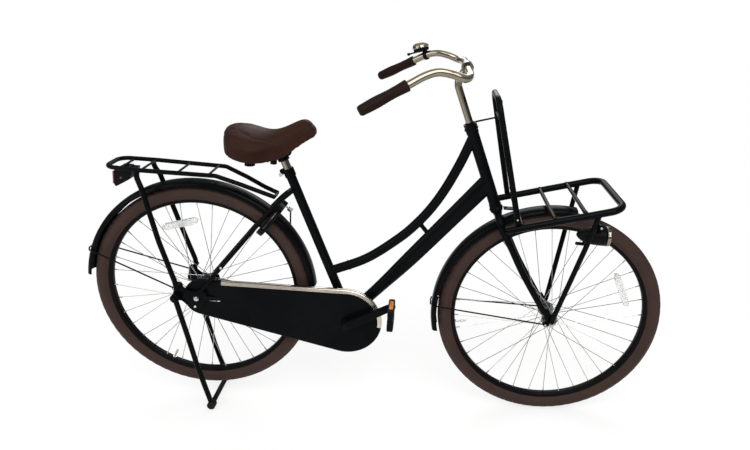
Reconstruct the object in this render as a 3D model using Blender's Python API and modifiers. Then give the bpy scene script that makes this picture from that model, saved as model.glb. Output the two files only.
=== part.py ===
"""City bike with a transport rack over the front wheel, standing on its double-leg stand.

Everything is modelled in the bike's own frame: origin on the rear axle, +X forward, +Y to the
rider's left, +Z up, both wheels level.  An empty above all the others then tips the bike
nose-down by the angle at which the stand holds the rear wheel off the ground.
Lengths are in metres.
"""
import math

import bmesh
import bpy
from mathutils import Matrix, Vector

# Fit between pieces that touch
GAP = 0.0003

# Wheels
WHEELBASE = 1.1283
WHEEL_RADIUS = 0.3575
TYRE_WIDTH = 0.045
TYRE_WALL = 0.003
RIM_INNER_RADIUS = 0.3015
RIM_WIDTH = 0.025
RIM_BED_RADIUS = 0.3095
RIM_EDGE_RADIUS = 0.3165
SPOKES = 36
SPOKE_RADIUS = 0.0012
SPOKE_CROSSING = 60.0
REFLECTOR_HALF = 0.0095
WHEEL_STEPS = 32
AXLE_RADIUS = 0.005
FRONT_HUB_WIDTH = 0.100
REAR_HUB_WIDTH = 0.120
FRONT_HUB_RADIUS = 0.015
REAR_HUB_RADIUS = 0.024
HUB_FLANGE = 0.011
NUT_RADIUS = 0.0086
NUT_HEIGHT = 0.009

# Frame
TUBE_ANGLE = math.radians(67.8)
SEAT_ANGLE = math.radians(67.55)
SEAT_TUBE_RADIUS = 0.0147
SEAT_TUBE_TOP = 0.433
HEAD_TUBE_RADIUS = 0.0175
HEAD_TUBE_BOTTOM = (0.9199, 0.3600)
HEAD_TUBE_LENGTH = 0.250
DOWN_TUBE_RADIUS = 0.0165
TOP_TUBE_RADIUS = 0.0148
STRUT_RADIUS = 0.007
STAY_RADIUS = 0.0078
BRACKET = (0.481, -0.0565)
BRACKET_RADIUS = 0.0205
BRACKET_WIDTH = 0.073
DROPOUT_WALL = 0.005
CUP_HEIGHT = 0.011
CUP_RADIUS = 0.0205
STEERER_RADIUS = 0.0143

# Fork
FORK_LEG_RADIUS = 0.0125
FORK_END_RADIUS = 0.0095
FORK_HALF_WIDTH = 0.052
FORK_TIP_OUT = 0.0555
FORK_EYELET = (WHEELBASE - 0.0173, -0.0056)

# Fenders
FENDER_RADIUS = 0.377
FENDER_WIDTH = 0.055
FENDER_DEPTH = 0.014
FENDER_WALL = 0.0015
REAR_FENDER_ARC = (7.0, 175.0)
REAR_FENDER_SHIFT = (-0.0025, 0.0015)
FRONT_FENDER_ARC = (83.5, 192.0)
FRONT_FENDER_SHIFT = (-0.003, -0.003)
FENDER_STAY_RADIUS = 0.0024

# Drive
CHAIN_LINE = 0.0445
CHAIN_PITCH = 0.0127
CHAINRING_TEETH = 38
SPROCKET_TEETH = 19
CHAIN_WIDTH = 0.0092
CHAIN_HALF_HEIGHT = 0.0043
CRANK_LENGTH = 0.165
CRANK_ANGLE = math.radians(29.8)
SPINDLE_RADIUS = 0.0085
PEDAL_AXLE_RADIUS = 0.0055
PEDAL_SIZE = (0.020, 0.082, 0.070)

# Chain case: two rounded ends joined by straight edges, open towards the wheel
CASE_FRONT = (0.478, -0.0540, 0.1150)
CASE_REAR = (0.0135, -0.0055, 0.0635)
CASE_WALL = 0.0015
CASE_OUTER_Y = -0.0545
CASE_DEPTH = 0.0165

# Contact points
SEAT_POST_RADIUS = 0.0125
SEAT_POST_TOP = 0.487
SEAT_POST_LENGTH = 0.260
SADDLE_WIDTH = 0.228
BAR_RADIUS = 0.0111
GRIP_RADIUS = 0.0150
QUILL_RADIUS = 0.0110
QUILL_LENGTH = 0.190
STEM_REACH = 0.044
BELL_RADIUS = 0.027

# Racks
REAR_RACK_HALF_WIDTH = 0.0565
REAR_RACK_HEIGHT = 0.4125
REAR_RACK_BARS = (-0.2205, -0.154, -0.043, 0.051)
REAR_RACK_TUBE = 0.0062
RACK_STRUT_RADIUS = 0.0082
FRONT_RACK_HALF_WIDTH = 0.138
FRONT_RACK_TUBE = 0.0105
FRONT_RACK_SLOPE = math.radians(15.7)
FRONT_RACK_REAR = (0.940, 0.3370)
FRONT_RACK_FRONT_X = 1.265
HOOP_TUBE = 0.0086
HOOP_HEIGHT = 0.3520
LAMP_RADIUS = 0.0300
LAMP_CENTRE = (1.2060, -0.0900, 0.3235)

# Stand
STAND_PIVOT = (-0.066, 0.0)
STAND_TUBE = 0.0086
STAND_SHOE = 0.0140
STAND_HALF_WIDTH = REAR_HUB_WIDTH / 2 + DROPOUT_WALL + 0.013
STAND_FOOT = (0.034, -0.3985)

# Ring lock around the rear tyre
LOCK_RADIUS = 0.345
LOCK_ANGLE = math.radians(52.6)
LOCK_BOLT_RING = 0.053
LOCK_BOLT_RADIUS = 0.004
LOCK_BODY_HALF = 0.009

BLACK = ("black_paint", (0.012, 0.013, 0.014), 0.35, 0.0)
BLACK_PLASTIC = ("black_plastic", (0.015, 0.015, 0.016), 0.5, 0.0)
STEEL = ("bright_steel", (0.55, 0.54, 0.52), 0.3, 1.0)
NICKEL = ("warm_nickel", (0.62, 0.57, 0.48), 0.25, 1.0)
TYRE = ("brown_tyre", (0.075, 0.045, 0.038), 0.8, 0.0)
LEATHER = ("brown_leather", (0.060, 0.022, 0.016), 0.5, 0.0)
RED_LENS = ("red_lens", (0.45, 0.01, 0.01), 0.15, 0.0)
CLEAR_LENS = ("clear_lens", (0.8, 0.82, 0.82), 0.1, 0.0)
RUBBER = ("black_rubber", (0.02, 0.02, 0.02), 0.7, 0.0)


def clearing(radius, sides):
    """Radius of a faceted hole that stays a gap clear of a round piece."""
    return (radius + GAP) / math.cos(math.pi / sides)


def head_axis(z):
    """X of the steering axis at a height z."""
    return HEAD_TUBE_BOTTOM[0] - (z - HEAD_TUBE_BOTTOM[1]) / math.tan(TUBE_ANGLE)


def seat_axis(z):
    """X of the seat tube's axis at a height z."""
    return BRACKET[0] - (z - BRACKET[1]) / math.tan(SEAT_ANGLE)


def rack_height(x):
    """Height of the front rack's rails at x."""
    return FRONT_RACK_REAR[1] + (x - FRONT_RACK_REAR[0]) * math.tan(FRONT_RACK_SLOPE)


AXIS_UP = Vector((-math.cos(TUBE_ANGLE), 0, math.sin(TUBE_ANGLE)))
SEAT_UP = Vector((-math.cos(SEAT_ANGLE), 0, math.sin(SEAT_ANGLE)))
AXIS_AHEAD = Vector((math.sin(TUBE_ANGLE), 0, math.cos(TUBE_ANGLE)))


def clear_scene():
    for old in list(bpy.data.objects):
        bpy.data.objects.remove(old)


def new_collection(name):
    made = bpy.data.collections.new(name)
    bpy.context.scene.collection.children.link(made)
    return made


clear_scene()
PARTS = new_collection("city_bike")
BODIES = {}


def body(name, place, parent=None):
    """An empty on a joint's axis; what moves with it is parented to it."""
    empty = bpy.data.objects.new(name, None)
    PARTS.objects.link(empty)
    place = Vector(place)
    if parent:
        empty.parent = BODIES[parent][0]
        empty.location = place - BODIES[parent][1]
    BODIES[name] = (empty, place)


def material(look):
    name, colour, roughness, metallic = look
    made = bpy.data.materials.get(name)
    if made:
        return made
    made = bpy.data.materials.new(name)
    made.use_nodes = True
    shader = made.node_tree.nodes["Principled BSDF"]
    shader.inputs["Base Color"].default_value = (*colour, 1)
    shader.inputs["Roughness"].default_value = roughness
    shader.inputs["Metallic"].default_value = metallic
    made.diffuse_color = (*colour, 1)
    return made


def add(name, obj, carrier, look):
    """Name a finished piece, give it its material and hang it on its body's empty."""
    obj.name = name
    obj.data.name = name
    obj.data.materials.clear()
    obj.data.materials.append(material(look))
    if obj.type == "MESH":
        obj.data.shade_smooth()
        obj.data.set_sharp_from_angle(angle=math.radians(38))
    empty, place = BODIES[carrier]
    obj.parent = empty
    obj.matrix_parent_inverse = Matrix.Translation(-place)
    return obj


def linked(data):
    obj = bpy.data.objects.new("piece", data)
    PARTS.objects.link(obj)
    return obj


def from_bmesh(shape):
    mesh = bpy.data.meshes.new("piece")
    bmesh.ops.recalc_face_normals(shape, faces=shape.faces)
    shape.to_mesh(mesh)
    shape.free()
    return linked(mesh)


def baked(obj):
    """The evaluated shape as a plain welded mesh, in place of the object."""
    bpy.context.view_layer.update()
    graph = bpy.context.evaluated_depsgraph_get()
    mesh = bpy.data.meshes.new_from_object(obj.evaluated_get(graph))
    mesh.transform(obj.matrix_world)
    shape = bmesh.new()
    shape.from_mesh(mesh)
    bmesh.ops.remove_doubles(shape, verts=shape.verts, dist=1e-5)
    bpy.data.objects.remove(obj)
    return from_bmesh(shape)


def boolean(base, others, operation):
    """One mesh out of a base and a list of shapes, which are used up."""
    for other in others:
        modifier = base.modifiers.new(operation, "BOOLEAN")
        modifier.operation = operation
        modifier.object = other
    result = baked(base)
    for other in others:
        bpy.data.objects.remove(other)
    return result


def joined(pieces):
    """One mesh out of shapes that touch."""
    return boolean(pieces[0], pieces[1:], "UNION")


def cut(base, *cutters):
    return boolean(base, cutters, "DIFFERENCE")


def gathered(pieces):
    """Shapes that stay clear of each other, as one operand of a later union."""
    shape = bmesh.new()
    for piece in pieces:
        shape.from_mesh(piece.data)
        bpy.data.objects.remove(piece)
    return from_bmesh(shape)


def curve_object(points, cyclic=False, flat=False, sizes=None):
    data = bpy.data.curves.new("path", "CURVE")
    data.dimensions = "2D" if flat else "3D"
    spline = data.splines.new("POLY")
    spline.points.add(len(points) - 1)
    for knot, point in zip(spline.points, points):
        knot.co = (point[0], point[1], point[2] if len(point) > 2 else 0, 1)
    for knot, size in zip(spline.points, sizes or []):
        knot.radius = size
    spline.use_cyclic_u = cyclic
    return linked(data)


def bar(points, radius, sides=8, sizes=None):
    """A round bar along points, with flat filled ends; sizes are shares of the radius."""
    obj = curve_object(points, sizes=sizes)
    obj.data.bevel_depth = radius
    obj.data.bevel_resolution = sides // 2 - 2
    obj.data.use_fill_caps = True
    return baked(obj)


def smooth(points, steps=4):
    """Points of a Catmull-Rom curve through the given ones."""
    given = [Vector(p) for p in points]
    ends = [2 * given[0] - given[1]] + given + [2 * given[-1] - given[-2]]
    path = []
    for a, b, c, d in zip(ends, ends[1:], ends[2:], ends[3:]):
        for i in range(steps):
            t = i / steps
            path.append(
                0.5 * (2 * b + (c - a) * t + (2 * a - 5 * b + 4 * c - d) * t * t
                       + (3 * b - a - 3 * c + d) * t ** 3)
            )
    return path + [given[-1]]


def rounded(points, radius, steps=3):
    """A path of straight runs whose inner corners are arcs."""
    given = [Vector(p) for p in points]
    path = [given[0]]
    for before, corner, after in zip(given, given[1:], given[2:]):
        a = (before - corner).normalized()
        b = (after - corner).normalized()
        half = a.angle(b) / 2
        if half > math.radians(87):
            path.append(corner)
            continue
        reach = min(radius / math.tan(half), 0.48 * (before - corner).length,
                    0.48 * (after - corner).length)
        centre = corner + (a + b).normalized() * reach / math.cos(half)
        size = reach * math.tan(half)
        start, end = corner + a * reach - centre, corner + b * reach - centre
        turn = start.angle(end)
        for i in range(steps + 1):
            t = i / steps
            spot = (start * math.sin((1 - t) * turn) + end * math.sin(t * turn)) / math.sin(turn)
            path.append(centre + spot.normalized() * size)
    return path + [given[-1]]


def frame_to(direction, place):
    """Axes at a place: Z along the direction, Y across the bike (X ahead where Z runs across)."""
    z = Vector(direction).normalized()
    if abs(z.y) < 0.9:
        x = Vector((0, 1, 0)).cross(z).normalized()
        y = z.cross(x)
    else:
        y = z.cross(Vector((1, 0, 0))).normalized()
        x = y.cross(z)
    turn = Matrix((x, y, z)).transposed().to_4x4()
    return Matrix.Translation(Vector(place)) @ turn


def rod(start, end, radius, sides=12, end_radius=None):
    """A cylinder or cone between two points."""
    start, end = Vector(start), Vector(end)
    shape = bmesh.new()
    bmesh.ops.create_cone(
        shape, cap_ends=True, segments=sides, radius1=radius,
        radius2=radius if end_radius is None else end_radius, depth=(end - start).length,
        matrix=frame_to(end - start, (start + end) / 2),
    )
    return from_bmesh(shape)


def cross_rod(x, z, y0, y1, radius, sides=12):
    """A cylinder across the bike."""
    return rod((x, y0, z), (x, y1, z), radius, sides)


def box(centre, size, direction=(0, 0, 1)):
    shape = bmesh.new()
    scale = Matrix.Diagonal((*size, 1))
    bmesh.ops.create_cube(shape, size=1, matrix=frame_to(direction, centre) @ scale)
    return from_bmesh(shape)


def turned(profile, centre, direction=(0, 1, 0), steps=16, phase=0.0):
    """A profile of (radius, height) points, turned about a direction; baked."""
    mesh = bpy.data.meshes.new("profile")
    points = [(r * math.cos(phase), r * math.sin(phase), h) for r, h in profile]
    closed = profile[0][0] > 1e-6 or profile[-1][0] > 1e-6
    count = len(points)
    edges = [(i, (i + 1) % count) for i in range(count if closed else count - 1)]
    mesh.from_pydata(points, edges, [])
    obj = linked(mesh)
    screw = obj.modifiers.new("turn", "SCREW")
    screw.steps = steps
    screw.render_steps = steps
    screw.use_merge_vertices = True
    screw.merge_threshold = 1e-5
    obj.matrix_world = frame_to(direction, centre)
    return baked(obj)


def plate(outline, y0, y1):
    """A flat outline of (x, z) points, filled and as thick as from y0 to y1; baked."""
    obj = curve_object(outline, cyclic=True, flat=True)
    obj.data.fill_mode = "BOTH"
    obj.data.extrude = abs(y1 - y0) / 2
    obj.matrix_world = Matrix.Translation((0, (y0 + y1) / 2, 0)) @ Matrix.Rotation(math.pi / 2, 4, "X")
    return baked(obj)


def swept(path, section):
    """A closed section carried along a path of (x, z) points; its first coordinate points to
    the right of the way the path runs, and its second towards -Y."""
    profile = curve_object(section, cyclic=True, flat=True)
    obj = curve_object(path, flat=True)
    obj.data.bevel_mode = "OBJECT"
    obj.data.bevel_object = profile
    obj.data.use_fill_caps = True
    obj.matrix_world = Matrix.Rotation(math.pi / 2, 4, "X")
    result = baked(obj)
    bpy.data.objects.remove(profile)
    return result


def lofted(rings):
    """A closed shape through rings of as many points each, with flat ends."""
    shape = bmesh.new()
    loops = [[shape.verts.new(p) for p in ring] for ring in rings]
    for a, b in zip(loops, loops[1:]):
        for i in range(len(a)):
            j = (i + 1) % len(a)
            shape.faces.new((a[i], a[j], b[j], b[i]))
    shape.faces.new(list(reversed(loops[0])))
    shape.faces.new(loops[-1])
    return from_bmesh(shape)


def arc(centre, radius, start, end, steps):
    """Points of an arc in (x, z), angles in degrees from +X towards +Z."""
    path = []
    for i in range(steps + 1):
        angle = math.radians(start + (end - start) * i / steps)
        path.append((centre[0] + radius * math.cos(angle), centre[1] + radius * math.sin(angle)))
    return path


def belt(first, second, grow=0.0, steps=10):
    """Outline round two circles (x, z, radius), the first one ahead of the second."""
    ax, az, ar = first
    bx, bz, br = second
    along = math.degrees(math.atan2(az - bz, ax - bx))
    lean = math.degrees(math.asin((ar - br) / math.hypot(ax - bx, az - bz)))
    front = arc((ax, az), ar + grow, along - 90 - lean, along + 90 + lean, steps + 4)
    rear = arc((bx, bz), br + grow, along + 90 + lean, along + 270 - lean, steps)
    return front + rear


def both_sides(make):
    """The same shape on the right (-1) and on the left (+1)."""
    return [make(-1), make(1)]


BRACKET_Y = BRACKET_WIDTH / 2
DROPOUT_IN = REAR_HUB_WIDTH / 2
DROPOUT_OUT = DROPOUT_IN + DROPOUT_WALL
STAY_END_Y = DROPOUT_IN + DROPOUT_WALL / 2
SEAT_TOP = (seat_axis(SEAT_TUBE_TOP), SEAT_TUBE_TOP)
HEAD_LOW = Vector((HEAD_TUBE_BOTTOM[0], 0, HEAD_TUBE_BOTTOM[1]))
HEAD_HIGH = HEAD_LOW + AXIS_UP * HEAD_TUBE_LENGTH
RING_RADIUS = CHAINRING_TEETH * CHAIN_PITCH / (2 * math.pi)
COG_RADIUS = SPROCKET_TEETH * CHAIN_PITCH / (2 * math.pi)
CRANK_END = (
    BRACKET[0] + CRANK_LENGTH * math.cos(CRANK_ANGLE),
    BRACKET[1] + CRANK_LENGTH * math.sin(CRANK_ANGLE),
)
CRANK_BACK = (2 * BRACKET[0] - CRANK_END[0], 2 * BRACKET[1] - CRANK_END[1])
CRANK_IN = 0.068
CRANK_OUT = 0.081
LOCK_OUTWARD = Vector((math.cos(LOCK_ANGLE), 0, math.sin(LOCK_ANGLE)))
LOCK_AHEAD = Vector((math.sin(LOCK_ANGLE), 0, -math.cos(LOCK_ANGLE)))
LOCK_CENTRE = LOCK_OUTWARD * LOCK_RADIUS
CLAMP = (head_axis(0.7739) + STEM_REACH, 0.7739)


def make_bodies():
    body("bike", (0, 0, 0))
    body("steering", (HEAD_TUBE_BOTTOM[0], 0, HEAD_TUBE_BOTTOM[1]), "bike")
    body("front_wheel_axis", (WHEELBASE, 0, 0), "steering")
    body("stem_slide", (CLAMP[0], 0, CLAMP[1]), "steering")
    body("bell_pivot", BELL_PIVOT, "stem_slide")
    body("rear_wheel_axis", (0, 0, 0), "bike")
    body("sprocket_axis", (0, 0, 0), "bike")
    body("crank_axis", (BRACKET[0], 0, BRACKET[1]), "bike")
    body("pedal_axis_right", (CRANK_END[0], 0, CRANK_END[1]), "crank_axis")
    body("pedal_axis_left", (CRANK_BACK[0], 0, CRANK_BACK[1]), "crank_axis")
    body("saddle_slide", (SEAT_TOP[0], 0, SEAT_TOP[1]), "bike")
    body("stand_pivot", (STAND_PIVOT[0], 0, STAND_PIVOT[1]), "bike")
    body("lock_axis", LOCK_CENTRE, "bike")
    body("key_axis", LOCK_KEY, "bike")


def oval_tube(stations, sides):
    """A tube through (x, z, half height, half width) stations in the bike's middle plane."""
    rings = []
    last = len(stations) - 1
    for i, (x, z, tall, wide) in enumerate(stations):
        before, after = stations[max(0, i - 1)], stations[min(last, i + 1)]
        way = Vector((after[0] - before[0], 0, after[1] - before[1])).normalized()
        up = Vector((-way.z, 0, way.x))
        turns = [2 * math.pi * k / sides for k in range(sides)]
        rings.append([Vector((x, wide * math.sin(t), z)) + up * tall * math.cos(t) for t in turns])
    return lofted(rings)


def main_frame():
    top = Vector((SEAT_TOP[0], 0, SEAT_TOP[1]))
    collar_low = top - SEAT_UP * 0.026
    head_point = HEAD_HIGH - AXIS_UP * 0.0175
    down_point = HEAD_LOW + AXIS_UP * 0.0800
    curve = smooth(
        [(head_point.x, 0, head_point.z), (0.8125, 0, 0.5200), (0.7970, 0, 0.4800), (0.7765, 0, 0.4310),
         (0.7640, 0, 0.4070), (0.7275, 0, 0.3430),
         (0.6850, 0, 0.2860), (0.6300, 0, 0.2290), (0.5318, 0, 0.1520), (seat_axis(0.098), 0, 0.098)], 2)
    down = [
        (BRACKET[0], BRACKET[1], 0.0190, DOWN_TUBE_RADIUS), (0.5713, 0.0458, 0.0190, DOWN_TUBE_RADIUS),
        (0.6685, 0.1605, 0.0245, DOWN_TUBE_RADIUS), (0.7952, 0.3170, 0.0268, DOWN_TUBE_RADIUS),
        (down_point.x, down_point.z, 0.0285, DOWN_TUBE_RADIUS - 0.0008),
    ]
    pieces = [
        rod((BRACKET[0], 0, BRACKET[1]), top, SEAT_TUBE_RADIUS, 12),
        rod(collar_low, top, SEAT_TUBE_RADIUS + 0.0026, 14),
        box(collar_low + Vector((-0.024, 0, 0.014)), (0.016, 0.018, 0.016), SEAT_UP),
        rod(HEAD_LOW, HEAD_HIGH, HEAD_TUBE_RADIUS, 16),
        bar(curve, TOP_TUBE_RADIUS, 10),
        oval_tube(down, 12),
        rod((0.6880, 0, 0.2900), (0.7400, 0, 0.2300), STRUT_RADIUS, 8),
        cross_rod(*BRACKET, -BRACKET_Y, BRACKET_Y, BRACKET_RADIUS, 16),
    ]
    frame = joined(pieces)
    clamp_x, clamp_z = CLAMP_BOLT
    cutters = [
        cross_rod(*BRACKET, -0.06, 0.06, BRACKET_RADIUS - 0.0030, 16),
        rod(HEAD_LOW - AXIS_UP * 0.02, HEAD_HIGH + AXIS_UP * 0.02, clearing(STEERER_RADIUS + 0.0005, 14),
            14),
        rod(top - SEAT_UP * 0.270, top + SEAT_UP * 0.02, clearing(SEAT_POST_RADIUS, 14), 14),
        box(collar_low + Vector((-0.026, 0, 0.016)), (0.022, 0.0022, 0.042), SEAT_UP),
        cross_rod(clamp_x, clamp_z, -0.02, 0.02, 0.0033, 8),
    ]
    add("main_frame", cut(frame, *cutters), "bike", BLACK)
    bolt = joined([
        cross_rod(clamp_x, clamp_z, -0.0115, 0.0115, 0.0030, 8),
        cross_rod(clamp_x, clamp_z, -0.0152, -0.0095, 0.0060, 10),
        cross_rod(clamp_x, clamp_z, 0.0095, 0.0142, 0.0056, 6),
    ])
    add("seat_clamp_bolt", bolt, "bike", STEEL)


def dropout(side):
    y0, y1 = side * DROPOUT_IN, side * DROPOUT_OUT
    outline = [
        (-0.079, -0.008), (-0.072, -0.014), (-0.050, -0.016), (-0.030, -0.034), (-0.004, -0.042),
        (0.014, -0.036), (0.024, -0.018), (0.034, 0.010), (0.030, 0.030), (0.012, 0.042),
        (-0.030, 0.050), (-0.068, 0.050), (-0.074, 0.042), (-0.076, 0.016), (-0.080, 0.004),
    ]
    if side > 0:
        y0, y1 = y1, y0
    return plate(outline, y0, y1)


def stay_paths(side):
    """Chain stay and seat stay of one side; the right chain stay runs inside the chain case."""
    if side < 0:
        low = [(BRACKET[0] - 0.010, -0.0270, BRACKET[1] + 0.002), (0.400, -0.0330, -0.0480),
               (0.300, -0.0400, -0.0360), (0.160, -0.0430, -0.0180), (0.078, -0.0440, -0.0085),
               (0.046, 0.0065 - STAY_END_Y, -0.0040), (0.018, -STAY_END_Y, -0.0010)]
    else:
        low = smooth([(BRACKET[0] - 0.010, 0.0270, BRACKET[1] + 0.002), (0.400, 0.0330, -0.0480),
                      (0.300, STAY_END_Y - 0.0185, -0.0360), (0.120, STAY_END_Y - 0.0055, -0.0130),
                      (0.014, STAY_END_Y, -0.0010)], 2)
    high = smooth([(0.010, side * STAY_END_Y, 0.022), (0.060, side * STAY_END_Y, 0.086),
                   (0.120, side * (STAY_END_Y - 0.0065), 0.163), (0.235, side * 0.0390, 0.3085),
                   (SEAT_JOINT[0] - 0.002, side * 0.0190, SEAT_JOINT[1])], 2)
    return low, high


SEAT_JOINT = (0.3020, 0.3720)
CLAMP_BOLT = (SEAT_TOP[0] - 0.0190, SEAT_TOP[1] - 0.0175)


def rear_stays():
    pieces = []
    for side in (-1, 1):
        chain_stay, seat_stay = stay_paths(side)
        pieces.append(joined([
            dropout(side),
            bar(chain_stay, STAY_RADIUS, 8),
            bar(seat_stay, STAY_RADIUS - 0.0008, 8),
            cross_rod(*STAND_PIVOT, side * (DROPOUT_OUT - 0.001), side * (STAND_HALF_WIDTH + 0.0125), 0.0055, 10),
            cross_rod(*STAND_PIVOT, side * (STAND_HALF_WIDTH + 0.0100), side * (STAND_HALF_WIDTH + 0.0145),
                      0.0095, 10),
        ]))
    bridges = [
        cross_rod(0.2860, 0.3610, -0.026, 0.026, 0.0062, 8),
        cross_rod(0.4330, -0.0520, -0.032, 0.032, 0.0062, 8),
    ]
    stays = joined(pieces + bridges)
    wide = Vector((BRACKET[0], 0, BRACKET[1]))
    seat_tube = rod(wide - 0.1 * SEAT_UP, wide + 0.50 * SEAT_UP, clearing(SEAT_TUBE_RADIUS, 12), 12)
    shell = cross_rod(*BRACKET, -0.08, 0.08, clearing(BRACKET_RADIUS, 16), 16)
    axle = cross_rod(0, 0, -0.08, 0.08, clearing(AXLE_RADIUS, 12), 12)
    add("rear_stays", cut(stays, seat_tube, shell, axle), "bike", BLACK)


def headset():
    bore = clearing(STEERER_RADIUS, 16)
    low = HEAD_LOW - AXIS_UP * GAP
    high = HEAD_HIGH + AXIS_UP * GAP
    lower = [(CUP_RADIUS, 0), (CUP_RADIUS + 0.0015, -CUP_HEIGHT * 0.5), (CUP_RADIUS, -CUP_HEIGHT),
             (bore, -CUP_HEIGHT), (bore, 0)]
    upper = [(CUP_RADIUS - 0.001, CUP_HEIGHT), (CUP_RADIUS, CUP_HEIGHT * 0.5), (CUP_RADIUS, 0),
             (bore, 0), (bore, CUP_HEIGHT)]
    add("headset_lower_cup", turned(lower, low, AXIS_UP, 16), "bike", BLACK)
    add("headset_upper_cup", turned(upper, high, AXIS_UP, 16), "bike", BLACK)
    nut_base = HEAD_HIGH + AXIS_UP * (CUP_HEIGHT + 3 * GAP)
    bore = clearing(STEERER_RADIUS, 8)
    nut = [(0.0195, 0.0065), (0.0195, 0), (bore, 0), (bore, 0.0065)]
    add("headset_locknut", turned(nut, nut_base, AXIS_UP, 8), "steering", BLACK)


def bottom_bracket():
    outer = BRACKET_RADIUS - 0.0030 - GAP
    bore = clearing(SPINDLE_RADIUS, 16)
    half = BRACKET_Y - 0.0005
    sleeve = [(outer, half), (outer, -half), (bore, -half), (bore, half)]
    add("bottom_bracket_cartridge", turned(sleeve, (BRACKET[0], 0, BRACKET[1]), (0, 1, 0), 16), "bike",
        STEEL)


def toothed(centre, pitch_radius, teeth, phase):
    """Outline of a chain wheel, with pointed teeth."""
    points = []
    for i in range(teeth):
        for share, offset in ((0.0, 0.0024), (0.5, -0.0036)):
            angle = phase + 2 * math.pi * (i + share) / teeth
            r = pitch_radius + offset
            points.append((centre[0] + r * math.cos(angle), centre[1] + r * math.sin(angle)))
    return points


def drive():
    ring = plate(toothed(BRACKET, RING_RADIUS, CHAINRING_TEETH, 0.0), -CHAIN_LINE - 0.0012,
                 -CHAIN_LINE + 0.0012)
    arm = belt((*CRANK_END, 0.0120), (*BRACKET, 0.0165), steps=8)
    right = joined([
        ring,
        cross_rod(*BRACKET, -0.072, 0.072, SPINDLE_RADIUS, 10),
        cross_rod(*BRACKET, -CRANK_IN - 0.003, -CHAIN_LINE + 0.0035, 0.0170, 14),
        plate(arm, -CRANK_OUT, -CRANK_IN),
        cross_rod(*CRANK_END, -CRANK_OUT - PEDAL_SIZE[1] + 0.0005, -CRANK_IN - 0.004, PEDAL_AXLE_RADIUS,
                  10),
    ])
    add("crankset", right, "crank_axis", BLACK)
    back = belt((*BRACKET, 0.0165), (*CRANK_BACK, 0.0120), steps=8)
    left = joined([
        plate(back, CRANK_IN, CRANK_OUT),
        cross_rod(*CRANK_BACK, CRANK_IN + 0.004, CRANK_OUT + PEDAL_SIZE[1] - 0.0005, PEDAL_AXLE_RADIUS,
                  10),
    ])
    bore = cross_rod(*BRACKET, CRANK_IN - 0.01, 0.072 + GAP, clearing(SPINDLE_RADIUS, 10), 10)
    add("crank_left", cut(left, bore), "crank_axis", BLACK)
    cog = plate(toothed((0, 0), COG_RADIUS, SPROCKET_TEETH, 0.0), -CHAIN_LINE - 0.0012,
                -CHAIN_LINE + 0.0012)
    bore = cross_rod(0, 0, -0.07, -0.02, clearing(DRIVER_RADIUS, 16), 16)
    add("rear_sprocket", cut(cog, bore), "sprocket_axis", STEEL)


DRIVER_RADIUS = 0.0170


def chain():
    ring, cog = (*BRACKET, RING_RADIUS), (0, 0, COG_RADIUS)
    half = CHAIN_WIDTH / 2
    y = -CHAIN_LINE
    outer = plate(belt(ring, cog, CHAIN_HALF_HEIGHT, 8), y - half, y + half)
    hollow = plate(belt(ring, cog, -CHAIN_HALF_HEIGHT, 8), y - 2 * half, y + 2 * half)
    channel = plate(belt(ring, cog, 0.0033, 8), y - 0.0022, y + 0.0022)
    add("chain", cut(outer, hollow, channel), "bike", STEEL)


def chain_case():
    y = CASE_OUTER_Y
    wall = CASE_WALL
    inside = y + CASE_DEPTH
    shell = [(-0.0040, y), (0, y + 0.0040), (0, y + 0.0090), (-0.0035, inside), (-0.0035 - wall, inside),
             (-wall, y + 0.0095), (-wall, y + 0.0045), (-0.0045, y + wall)]
    tub = lofted([[(x, h, z) for x, z in belt(CASE_FRONT, CASE_REAR, r, 12)] for r, h in shell])
    crank_hole = cross_rod(*BRACKET, -0.08, -0.0500, 0.0200, 16)
    notch = box((0.0125, -0.05, -0.003), (0.145, 0.06, 0.030))
    lug = cross_rod(0.230, -0.0270, y + wall / 2, -0.0415 - STAY_RADIUS - 2 * GAP, 0.0060, 10)
    case = cut(joined([tub, lug]), crank_hole, notch)
    add("chain_case", case, "bike", BLACK)
    loop = belt(CASE_FRONT, CASE_REAR, 0, 12)
    first = next(i for i, p in enumerate(loop) if p[1] > CASE_FRONT[1] - 0.010)
    start = Vector(loop[first]).lerp(Vector(loop[first - 1]), 0.5)
    top = [(start.x, start.y)] + loop[first:17]
    after = loop[17]
    share = (top[-1][0] - 0.076) / (top[-1][0] - after[0])
    path = top + [(0.076, top[-1][1] + (after[1] - top[-1][1]) * share)]
    lift, thick = GAP + 0.0001, GAP + 0.0011
    strip = [(-0.0130, y - lift), (-0.0040, y - lift), (lift, y + 0.0038), (lift, y + 0.0080),
             (thick, y + 0.0080), (thick, y + 0.0034), (-0.0036, y - thick), (-0.0130, y - thick)]
    add("chain_case_trim", swept(path, [(r, -h) for r, h in strip]), "bike", NICKEL)


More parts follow.
